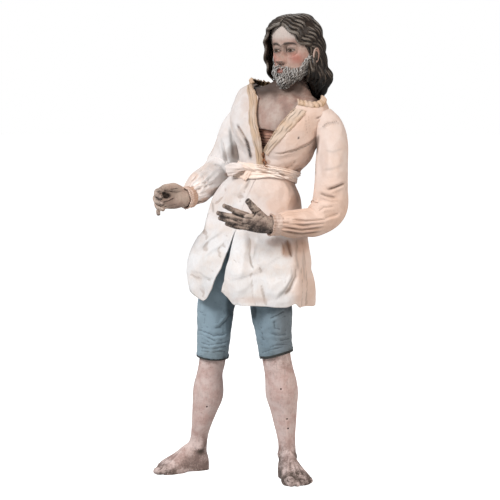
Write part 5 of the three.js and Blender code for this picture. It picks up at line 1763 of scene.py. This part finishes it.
for name, (inner, outer) in lapel_edges.items():
    t = np.linspace(0, 1, 44)[None]
    s = np.linspace(0, 1, 220)[:, None]
    a, b = rows_at(inner, s[:, 0])[:, None], rows_at(outer, s[:, 0])[:, None]
    spot = a + (b - a) * smooth(t, 0, 2)[..., None] * 2
    angle, place = shirt_front(spot[..., 0], spot[..., 1])
    ragged = 0.25 * np.sin(70 * s + 6 * np.sin(9 * s)) * hump(t, 0.1, 0.2)
    roll = 0.5 * np.sin(math.pi * t) + 0.25 * np.sin(23 * s + 5 * t) + 0.15 * np.sin(51 * s - 4 * t)
    if name == "right_lapel":
        ridges = 0.7 * hump(t, 0.16, 0.06) - 0.5 * hump(t, 0.3, 0.04) + 0.35 * hump(t, 0.45, 0.08)
        ridges = ridges - 0.45 * hump(t, 0.62, 0.04) + 0.3 * hump(t, 0.78, 0.08)
    else:
        ridges = 0.6 * hump(t, 0.1, 0.08) - 0.3 * hump(t, 0.27, 0.03) + 0.3 * hump(t, 0.9, 0.06)
    out = linen + 0.9 + roll + ridges + ragged - 1.6 * (1 - smooth(t, -0.05, 0.1))
    out = out - 0.8 * smooth(t, 0.86, 1)
    strip = body_point(angle, place, shirt_fold(angle, place) + out)
    if name == "right_lapel":
        strip = strip[:, ::-1]
    made = cloth_piece(name, strip, 0.8, dirt=0.3)
    across = t if name == "left_lapel" else t[:, ::-1]
    yellowed = (0.3 * hump(across, 0.75, 0.2) if name == "right_lapel" else 0.0) + 0 * across
    edge = 0.55 * (1 - smooth(across, 0.05, 0.2)) + yellowed + 0 * s
    mark_faces(made, "aged", edge, edge)
    # Painted shade in the grooves between the band's folds.
    wander = across + 0.05 * np.sin(9 * s) + 0.03 * np.sin(31 * s)
    broken = 0.35 + 0.3 * np.sin(17 * s + 9 * across)
    gaps = sum(hump(wander, at, 0.035) for at in (0.28, 0.52, 0.76)) * np.clip(broken, 0, 1)
    mark_faces(made, "hole", gaps, 0 * gaps)
    thinned(made, 0.56, inner_half(made))
    settle(made, trim_paint, [name])
    cut = 0.0009 if name == "right_lapel" else 0.00065

# The collar is a frill of the same unbleached linen as the facings. It is gathered on a thread,
# sewn to the neckline, and stands up round the back and sides of the neck. Its inside and the
# hollows of its gathers are darkened as painted shade.
place_per_height = 1 / last_row / (body_rows[0][0] - body_rows[1][0])
frill = (26, 620)
t = np.linspace(0, 1, frill[0])[:, None]
u = np.linspace(0, 1, frill[1])[None]
angle = np.radians(33 + (309 - 33) * u)
gathers = 0.55 * np.sin(2 * math.pi * 41 * u + 2.6 * np.sin(31 * u))
gathers = gathers + 0.45 * np.sin(2 * math.pi * 11 * u + 2 * np.sin(9 * u)) * np.sin(57 * u + 3 * t)
bulge = 2.2 * np.sin(math.pi * t) + (0.5 + gathers) * (0.35 + 0.65 * t)
lean = 3.2 * t**1.4 * (1 - smooth(u, 0.35, 0.55))
out = linen + 0.3 + bulge - lean
height = (0.55 + 0.35 * smooth(u, 0.25, 0.5)) * (1 - 0.6 * smooth(u, 0.93, 1))
rise = (t * 8 - 2.8 + 1.1 * gathers * t) * height
place = neck_place(angle) - np.minimum(rise, 0) * place_per_height
grid = body_point(angle, place, out) + np.maximum(rise, 0)[..., None] * upward
collar = cloth_piece("collar", grid[::-1], 0.8, dirt=0.35)
# Stains on the outside, darker in the hollows of the gathers as painted shade; the inside is painted dark as
# shadow.
blotched = smooth(np.sin(37 * u + 3 * np.sin(11 * u)) + 0.8 * np.sin(90 * u), -0.4, 1.2)
outside = 0.12 + 0.5 * blotched * (1 - 0.5 * t[::-1]) + 0.4 * smooth(-gathers[::-1], 0.1, 0.8)
outside = np.clip(np.broadcast_to(outside, frill), 0, 1)
pleats = 0.75 * smooth(-gathers[::-1], 0.5, 0.85) * smooth(np.sin(23 * u), -0.5, 0.6)
set_mark(collar, "peach_and_warm_light", 0.45)
mark_faces(collar, "aged", outside, np.full(frill, 0.9))
inside = np.broadcast_to(0.88 * smooth(u, 0.42, 0.6), frill)
mark_faces(collar, "hole", np.broadcast_to(pleats, frill), inside)
thinned(collar, 0.6, inner_half(collar))
settle(collar, trim_paint, ["collar"])

# Where the opening closes, the band's end has frayed. A tuft of its reddish threads hangs from
# the seam over the shirt.
fray_draw = np.random.default_rng(5)
threads = []
for number in range(30):
    down = fray_draw.random()
    x, z = 0.8 + 4.2 * down**2 + fray_draw.normal(0, 0.5), 277 - 13 * down
    angle, place = shirt_front(x, z)
    start = body_point(angle, place, shirt_fold(angle, place) + linen + 0.5)
    way = unit(np.array([fray_draw.normal(0.1, 0.35), -0.25, -1]))
    t = np.linspace(0, 1, 9)
    path = start + (fray_draw.uniform(2.5, 5) * t)[:, None] * way
    path = path + (0.35 * np.sin(5 * t + number))[:, None] * np.array([1.0, -0.3, 0])
    threads.append(lock(path, np.array([0, -1.0, 0]), 0.3 * (1.02 - t**3), 0.3 * (1.02 - t**3), 6))
fray = object_of("fray", threads)
mark_relief(fray)
fray_paint = cloth_paint("fray_paint", (0.3, 0.135, 0.07), (0.1, 0.04, 0.02), (0.14, 0.06, 0.03))
settle(fray, fray_paint)

# The sleeves are linen tubes stuffed with tow, sewn in at the shoulders and gathered to the
# wristbands. Crushing and age have set their folds at the elbows.
sleeves = {
    "right": {
        "rows": [
            [-13, 0, 310, 11, 12], [-22, 8, 296, 12.5, 12.5], [-28, 20, 281, 13, 13],
            [-33, 28, 268, 14, 13.5], [-39, 22, 259, 13.5, 13.5], [-47, 7, 252, 13, 13],
            [-54.5, -9, 245, 11.5, 12], [-60, -19, 240, 9, 9.5],
        ],
        "bend": [-0.86, 0.37, 0.35],
        "folds": [
            ([(209, 152), (215, 158), (224, 166), (232, 176)], 1.0, 4.0, 1.2),
            ([(196, 170), (204, 176), (208, 184), (210, 192)], 0.9, 3.0, 0.9),
            ([(221, 134), (222, 146), (226, 158)], 1.2, 4.0, 0.9),
            ([(187, 184), (196, 186), (206, 190)], 0.9, 3.0, 0.7),
        ],
        "gaps": [
            ([(229.5, 124), (231, 140), (234, 161)], 1.6, 0.6),
            ([(235, 143), (239, 152), (242, 160)], 2.2, 0.3),
            ([(184, 208), (190, 211.5), (193, 206)], 0.9, 0.6),
            ([(190, 186), (200, 178), (211, 170)], 0.9, 0.2),
            ([(199, 196), (206, 186), (209, 176)], 0.9, 0.25),
            ([(213, 163), (220, 166), (226, 174)], 0.9, 0.3),
            ([(221, 136), (222, 148), (227, 160)], 1.0, 0.25),
        ],
        "aged": [
            (230, 174.5, 7, 3, 0.8), (200, 203, 10, 4, 0.75), (215, 192, 12, 4, 0.6),
            (235, 152, 5, 9, 0.5), (203, 191, 12, 8, 0.2), (196, 207, 8, 3.5, 0.9),
            (207, 200, 9, 3.5, 0.85), (219, 190, 8, 3.5, 0.8), (228, 181, 5, 4, 0.7),
        ],
        "pink": [
            (194, 177, 8, 7, 0.8), (206, 193, 13, 7, 1.0), (228, 172, 5, 10, 1.0), (204, 165, 5, 7, 0.5),
        ],
        "creases": [
            ([(222, 137), (225, 152), (228, 166)], 1.6, 1.0, 0.7),
            ([(213, 163), (217, 165), (222, 169)], 1.2, 0.7, 0.5),
            ([(197, 167), (203, 173), (205, 181), (208, 190)], 1.8, 0.5, 0.4),
            ([(187, 183), (192, 180), (197, 176)], 1.2, 1.0, 0.6),
            ([(206, 150), (201, 159), (197, 167)], 1.6, 0.6, 0.5),
            ([(193, 196), (200, 189), (209, 185), (218, 181)], 1.5, 1.0, 0.7),
            ([(190, 188), (198, 184), (206, 182)], 1.2, 0.8, 0.5),
        ],
    },
    "left": {
        "rows": [
            [49, -31, 306, 10, 10.5], [55, -34.5, 297, 11.5, 12], [57.7, -37.5, 284, 12.5, 12.6],
            [57.4, -39.5, 266, 13, 13.3], [56.3, -41.5, 248, 13.2, 14.2], [54, -44, 230.5, 13, 14.8],
            [43.5, -49.5, 220.2, 12.2, 12.2], [31, -56, 219, 11.6, 11.4],
            [22, -60.3, 218.4, 10.8, 10.6], [13.5, -64, 217.8, 9.4, 9.6],
        ],
        "bend": [0.39, -0.92, 0],
        "folds": [
            ([(322, 188.5), (334, 186), (347, 180.5)], 0.8, 5.0, 1.5),
            ([(317, 191), (328, 194), (339, 197)], 0.9, 4.0, 1.1),
            ([(316, 205), (328, 206), (342, 203)], 1.0, 5.0, 0.8),
        ],
        "gaps": [
            ([(318.5, 133), (317.5, 145), (316, 157)], 1.2, 0.7),
            ([(315, 158), (315, 168), (315.5, 177)], 1.0, 0.35),
            ([(326, 190.5), (336, 187), (346, 182)], 0.8, 0.6),
            ([(318, 193), (327, 196.5), (336, 199)], 0.8, 0.35),
            ([(281, 228), (302, 230.5), (326, 226)], 0.8, 0.4),
            ([(281, 232), (302, 234.5), (324, 231)], 0.8, 0.45),
            ([(281, 223), (302, 225), (322, 222)], 0.7, 0.3),
            ([(321, 129), (327, 123.5), (339, 122)], 0.7, 0.35),
            ([(324, 150), (333, 152), (344, 148)], 1.0, 0.15),
            ([(322, 170), (332, 169), (344, 164)], 1.0, 0.15),
        ],
        "aged": [
            (274, 228, 7, 14, 0.5), (316, 145, 3, 11, 0.7), (324, 158, 6, 24, 0.4),
            (296, 230, 30, 12, 0.42), (300, 237, 30, 3, 0.5), (330, 229, 12, 5, 0.3),
        ],
        "pink": [(338, 205, 8, 22, 1.0), (340, 150, 5, 20, 0.8)],
        "creases": [
            ([(327, 190.5), (336, 187), (346, 182.5)], 1.3, 1.5, 0.9),
            ([(319, 193), (328, 196), (337, 198)], 1.3, 1.2, 0.8),
            ([(323, 171), (334, 170), (345, 166)], 2.0, 0.3, 0.2),
            ([(330, 131), (336, 150), (335, 172)], 2.8, 0.3, 0.2),
            ([(321, 128), (327, 122.5), (339, 121)], 0.8, 1.1, 0.9, 0.1, 9),
            ([(330, 219), (306, 221), (281, 218)], 0.8, 0.8, 0.5),
            ([(328, 223), (304, 225.5), (280, 222.5)], 0.8, 1.0, 0.6),
            ([(326, 227.5), (302, 230), (280, 227)], 0.8, 1.1, 0.6),
            ([(322, 232), (302, 234), (282, 231)], 0.8, 1.1, 0.6),
            ([(316, 212), (324, 207), (335, 206)], 1.6, 1.0, 0.7),
            ([(322, 219), (331, 216), (341, 213)], 1.5, 0.8, 0.6),
        ],
    },
}
wrists = {
    "right": {"middle": [-62.5, -23, 238.6], "ahead": [-0.62, -0.77, -0.12],
              "radii": [5.8, 7.2], "flat": [0.75, -0.65, 0.1]},
    "left": {"middle": [10.3, -65.3, 217.5], "ahead": [-0.92, -0.39, 0.02],
             "radii": [5.8, 7.4], "flat": [-0.3, -0.85, -0.4]},
}


def faced_outward(grid):
    """The closed grid, turned round if the normals of its middle row look inward."""
    row = len(grid) // 2
    outward = (grid_normals(grid, True)[row] * (grid[row] - grid[row].mean(0))).sum()
    return grid if outward > 0 else grid[:, ::-1]


def sleeve_gathers(turn, s):
    pleats = smooth(s, 0.62, 0.92) * (0.45 * np.sin(13 * turn + 2 * s) + 0.25 * np.sin(21 * turn))
    return pleats + 0.5 * np.sin(19 * s + 2.2 * np.sin(turn)) * np.sin(math.pi * s)


for side, sleeve in sleeves.items():
    grid = faced_outward(limb(sleeve["rows"], sleeve["bend"], 60, 96, sleeve_gathers))
    down = np.linspace(0, 1, len(grid))[:, None]
    held = np.maximum(1 - smooth(down, 0.0, 0.1), smooth(down, 0.9, 1.0)) + 0.12
    grid = finer(crinkled(grid, np.clip(held + np.zeros(60), 0, 1), 0.022, 16, True), 2, True)
    tail = smooth(np.linspace(0, 1, len(grid)), 0.92, 1)[:, None, None]
    middle = grid.mean(1, keepdims=True)
    grid = middle + (grid - middle) * (1 - 0.24 * tail) + 2.5 * tail * unit(wrists[side]["ahead"])
    grid = creased(grid, sleeve["creases"], True, sleeve["folds"])
    made = cloth_piece(f"{side}_sleeve", grid, linen, True)
    points, normals = points_of(made)
    darker_higher_up = 0.0 if side == "right" else 0.12 + 0.1 * smooth(points[:, 2], 285, 305)
    # Stains, with painted shade at the armpit; the left sleeve is darker higher up.
    set_mark(made, "aged", np.maximum(spots_at(sleeve["aged"], points, normals), darker_higher_up))
    # Painted light: the right sleeve is lightened where it faces away from the key lamp.
    shaded = 1 - smooth(0.6 * normals[:, 2] - 0.6 * normals[:, 0], -0.1, 0.5)
    set_mark(made, "painted_light", (0.8 if side == "right" else 0.0) * shaded)
    # Painted shade along the gaps and the deepest creases.
    set_mark(made, "hole", np.clip(dark_lines(sleeve["gaps"], points, normals), 0, 1))
    # Pink stains, and a peach tint that is partly painted warm light, stronger lower down.
    low = 1 - smooth(points[:, 2], 232, 270)
    pinked = 0.9 * spots_at(sleeve["pink"], points, normals)
    set_mark(made, "peach_and_warm_light", np.maximum(pinked, 0.3 + 0.5 * low if side == "right" else 0.66 + 0.34 * low))
    thinned(made, 0.56, inner_half(made))
    settle(made, linen_paint, [f"{side}_sleeve"])

# Wristbands of doubled linen, gathered and sewn over the sleeves' ends. They hide where the
# sleeve meets the wooden wrist.
cuff_length, wrist_room = 9, 0.6
for side, wrist in wrists.items():
    ahead, flat = unit(wrist["ahead"]), np.array(wrist["flat"])
    depth = unit(flat - ahead * (flat @ ahead))
    aside = np.cross(ahead, depth)
    deep, wide = (radius + wrist_room + 1.1 for radius in wrist["radii"])
    reach = np.linspace(-0.5, 0.5, 40)[:, None]
    turn = full_turn(150)[None]
    gathers = 0.28 * np.sin(23 * turn + 2 * np.sin(3 * turn)) * (0.4 + smooth(reach, 0.1, 0.5))
    out = gathers + 0.35 * hump(reach, -0.32, 0.1) - 0.35 * hump(reach, 0.16, 0.06)
    out = out + 0.5 * smooth(reach, 0.25, 0.5) + 0.2 * np.sin(5 * turn + 8 * reach)
    grid = (
        np.array(wrist["middle"])
        + (cuff_length * (reach + 0.03 * np.sin(7 * turn) * (reach > 0)))[..., None] * ahead
        + (np.cos(turn) * (deep + out))[..., None] * depth
        + (np.sin(turn) * (wide + out))[..., None] * aside
    )
    made = cloth_piece(f"{side}_cuff", faced_outward(grid), 1.0, True, 0.5)
    # Browner towards one end, and darker in the hollows of the gathers as painted shade.
    brown_and_fold_shade = 0.85 * (1 - smooth(reach, -0.1, 0.2)) if side == "right" else 0.3 + 0.3 * smooth(reach, 0, 0.5)
    brown_and_fold_shade = np.clip(brown_and_fold_shade + 0.25 * (gathers < -0.05), 0, 1)
    mark_faces(made, "aged", brown_and_fold_shade, brown_and_fold_shade)
    set_mark(made, "peach_and_warm_light", 0.7)
    thinned(made, 0.6, inner_half(made))
    settle(made, linen_paint, [f"{side}_cuff"])

# Hands carved in wood and painted, each with its wrist in the sleeve. The right is half closed, as
# if it once held something; the left is held out palm up. Both are dark with handling at the
# fingertips and darker underneath as painted shade; the left is darker all over.
hands = {
    "right": {
        "back": (0.3, -0.94, 0.1),
        "lines": [  # pixels along the crease, width and depth
            ([(170, 190.5), (174, 189.5), (179, 188)], 0.8, 0.9),
            ([(160, 203), (168, 201), (176, 197)], 0.9, 0.6),
            ([(163, 207), (170, 206), (178, 204)], 0.9, 0.5),
        ],
        "hollows": [(166, 195.5, 5, 4)],
        "palm": [
            [-67.5, -29.1, 237.8, 5.6, 7.6], [-72, -32, 238.4, 5.6, 9.2],
            [-77.5, -34.5, 238.8, 5, 9.6], [-83, -36.5, 238.8, 4, 9],
        ],
        "fingers": [  # radii at the root and the tip, then the joints; the thumb is last
            [2.5, 2, (-81, -37, 245.5), (-87, -44, 244.3), (-87.2, -50.5, 241.8), (-83.5, -54, 239.5)],
            [2.5, 2, (-82, -36.5, 241), (-88.3, -45, 239.3), (-87.3, -51.5, 236.3), (-82.5, -54.5, 234.5)],
            [2.4, 1.9, (-81.5, -36, 236), (-87.3, -43.5, 234.3), (-86.3, -49.5, 231.5), (-82, -52.5, 229.8)],
            [2.2, 1.7, (-79.5, -34.5, 231.8), (-85, -41, 230), (-86.3, -45.5, 228), (-86, -48.5, 225.8)],
            [4.2, 2.3, (-69, -30, 244.5), (-74, -37, 247.5), (-80.5, -44.5, 247.3), (-84.5, -50, 245.6)],
        ],
    },
    "left": {
        "back": (-0.1, -0.85, -0.5),
        "lines": [
            ([(259, 213), (247, 212.5), (233, 207.5)], 0.9, 0.7),
            ([(257, 219), (245, 218), (231, 213)], 0.9, 0.7),
            ([(255, 225), (243, 224), (231, 219)], 0.9, 0.7),
            ([(263, 209), (256, 213), (252, 219)], 1.0, 0.9),
            ([(266, 215), (258, 222), (250, 228)], 1.1, 0.5),
        ],
        "hollows": [],
        "palm": [
            [5, -67.5, 217.6, 5.6, 7.6], [-1.5, -70.5, 218.5, 5.6, 8.4], [-8, -74.5, 220, 5, 8.6],
            [-15, -79, 221.5, 3.8, 8],
        ],
        "fingers": [
            [2.5, 1.9, (-12.5, -79, 226.2), (-21.5, -84.5, 229.7), (-27, -87.5, 232.3), (-31, -88.5, 234.2)],
            [2.5, 1.9, (-14.5, -79.5, 223), (-25, -85.5, 225.6), (-31.5, -88, 227.3), (-35.8, -88.5, 228.4)],
            [2.5, 1.8, (-14.5, -78.5, 219.5), (-24.5, -84, 221.5), (-31, -86.5, 223.2), (-34.5, -87, 224.2)],
            [2.3, 1.7, (-13, -76.5, 216), (-21.5, -80.5, 217.2), (-26, -82, 218.4), (-29, -82.5, 219.4)],
            [4.2, 2.5, (1, -70.5, 222.5), (-5, -76.5, 229), (-8.5, -80.5, 233.5), (-11.8, -83.3, 237.6)],
        ],
    },
}


def finger_skin(root, tip, joints, back):
    """A finger with full joints, slimmer bones between them and a round end."""
    joints = np.array(joints, float)
    end = joints[-1] + unit(joints[-1] - joints[-2]) * tip * 0.7
    joints = np.concatenate([joints, [end]])
    s = np.linspace(0, 1, 34)
    spots = rows_at(joints, s)
    at = s * (len(joints) - 1)
    radius = root + (tip - root) * np.clip(at / 3, 0, 1)
    swell = 1 + 0.07 * hump(at, 1, 0.25) + 0.06 * hump(at, 2, 0.22) - 0.06 * hump(at, 1.5, 0.25)
    swell -= 0.05 * hump(at, 2.5, 0.25)
    radius = radius * swell * np.sqrt(np.clip(1 - ((at - 3.2) / 0.85).clip(0) ** 2, 0.08, 1))
    rows = np.column_stack([spots, radius * 0.94, radius])
    return capsule(rows, back, 24, 34)


hand_paint = flesh_paint(
    "hand_paint", (0.46, 0.36, 0.295), (0.035, 0.027, 0.024), (0.54, 0.38, 0.31)
)
for side, hand in hands.items():
    back = np.array(hand["back"])
    wrist = wrists[side]
    ahead = unit(wrist["ahead"])
    flat = np.array(wrist["flat"])
    ends = [np.array(wrist["middle"]) + ahead * reach for reach in (-14, 6.5)]
    skins = [
        capsule(hand["palm"], back, 40, 40),
        capsule([[*end, *wrist["radii"]] for end in ends], flat, 40, 20),
    ]
    for root, tip, *joints in hand["fingers"]:
        skins.append(finger_skin(root, tip, joints, back))
    made = fused(object_of(f"{side}_hand", skins), 0.45, 4)
    points, normals = points_of(made)
    rise = np.zeros(len(points))
    for root, tip, *joints in hand["fingers"]:
        joints = np.array(joints, float)
        bones = unit(np.diff(joints, axis=0))
        for joint, way in zip(joints[1:-1], bones[1:]):
            off = points - joint
            along = off @ way
            near = hump(np.linalg.norm(off, axis=1), 0, tip * 1.6)
            rise -= 0.3 * near * (hump(along, 0, 0.3) + 0.6 * hump(along, 0.9, 0.25))
        nail_way = bones[-1]
        side_way = unit(np.cross(nail_way, back))
        nail_up = unit(np.cross(side_way, nail_way))
        if side == "left":
            nail_up = -nail_up
        off = points - joints[-1] - nail_way * 0.2
        along, across, above = off @ nail_way, off @ side_way, off @ nail_up
        from_middle = np.hypot(along / 1.7, across / (tip * 0.72))
        on_nail = smooth(normals @ nail_up, 0.1, 0.5) * (above > 0) * (np.linalg.norm(off, axis=1) < 4)
        rise += on_nail * (0.2 * (1 - smooth(from_middle, 0.85, 1)) - 0.35 * hump(from_middle, 1.08, 0.14))
    lines = strokes_at(hand["lines"], points, normals, -0.1, 0.3)
    hollow = spots_at(hand["hollows"], points, normals)
    points += normals * (rise + lines - 2.2 * hollow)[:, None]
    set_points(made, points)
    mark_relief(made, 2, 8, 0.08, 0.5)
    tips = np.zeros(len(points))
    for root, tip, *joints in hand["fingers"]:
        reach = np.linalg.norm(points - np.array(joints[-1]), axis=1)
        tips = np.maximum(tips, 1 - smooth(reach, 3, 9))
    # Painted shade underneath, grime at the fingertips, and the left hand darker all over.
    under = smooth(-normals[:, 2], -0.1, 0.8)
    hand_darkness = 0.25 if side == "right" else 0.55
    set_mark(made, "dirt", np.clip(hand_darkness + 0.5 * tips + 0.45 * under + hollow, 0, 1))
    set_mark(made, "worm_hole", 0.6 * hollow)
    settle(made, hand_paint, [f"{side}_hand"])

# The sash is a strip of pinkish linen, wound twice round the waist and tied at the figure's
# right front in one loop, with a short tail.
sash_thickness = 2.2
place_for_height = 1 / last_row / (body_rows[6][0] - body_rows[7][0])
sash_paint = cloth_paint("sash_paint", (0.93, 0.82, 0.74), (0.36, 0.24, 0.19), (0.46, 0.28, 0.2))
turn = full_turn(300)[None]
t = np.linspace(0, 1, 44)[:, None]


def sash_form(turn, t):
    """How far the wound sash stands off the shirt, from its upper edge to its lower."""
    middle = 0.5 + 0.12 * np.sin(turn + 0.7)
    full = sash_thickness * (0.45 + 0.55 * np.sin(math.pi * t)) * (1 - 0.6 * hump(t, middle, 0.1))
    for count, sway, shift, depth in ((3.2, 0.5, 0.4, 0.3), (5.5, 0.35, 2.1, 0.22), (8, 0.3, 4, 0.14)):
        full = full + depth * np.sin(2 * math.pi * (count * t + sway * np.sin(turn + shift)))
    return full


wave = 0.8 * np.sin(2 * turn)
height = 11.3 - 2.8 * smooth(np.sin(turn + 0.1), 0.1, 0.8)
place = waist_place - (7.6 - t * height + wave) * place_for_height
out = linen + 0.6 + sash_form(turn, t)
grid = faced_outward(body_point(turn, place, shirt_fold(turn, place) + out))
sash_creases = [
    ([(253, 166), (266, 169), (280, 174), (294, 181)], 0.9, 0.8, 0.4),
    ([(253, 170.5), (268, 173.5), (282, 178), (295, 184)], 0.9, 0.7, 0.4),
    ([(262, 164), (274, 170), (288, 178)], 0.8, 0.5, 0.3),
]
sash = cloth_piece("sash", creased(grid, sash_creases, True), 0.9, True, 0.3)
thinned(sash, 0.58, inner_half(sash))
settle(sash, sash_paint, ["sash"])
knot = body_point(-0.2, waist_place, linen + sash_thickness)
bow_parts = {  # offsets from the knot, then depth and width radii
    "loop": [
        (-2, -0.5, 3, 1.3, 2.2), (-7, 0, 3.6, 1.7, 3.4), (-13, 2.5, 2.6, 1.9, 5.2), (-18, 6, 0.8, 1.3, 5.0),
    ],
    "wrap": [(-4, 0, 5, 2, 2.6), (1, -1, 4, 3, 3.8), (6, -0.5, 2, 2.8, 3.6), (10, 0.5, 0, 1.6, 2.4)],
    "tail": [(2, -0.5, 3, 1.2, 2.2), (-1, -1.5, -2, 1.2, 2.4), (-4, -1.5, -6.5, 0.8, 2.4)],
}


def bow_folds(turn, s):
    return 0.35 * np.sin(5 * turn + 4 * s) * np.sin(math.pi * s) + 0.25 * np.sin(9 * turn - 9 * s)


for name, rows in bow_parts.items():
    rows = np.array(rows, float)
    rows[:, :3] += knot
    made = object_of("bow_" + name, [tube(limb(rows, facing_of(body_turn), 60, 60, bow_folds))])
    made = fused(made, 0.45, 3)
    mark_relief(made, 2, 9, 0.1, 0.7)
    set_mark(made, "dirt", 0.15)
    set_mark(made, "peach_and_warm_light", 0.45)
    settle(made, linen_paint if name == "loop" else sash_paint)

low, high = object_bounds()
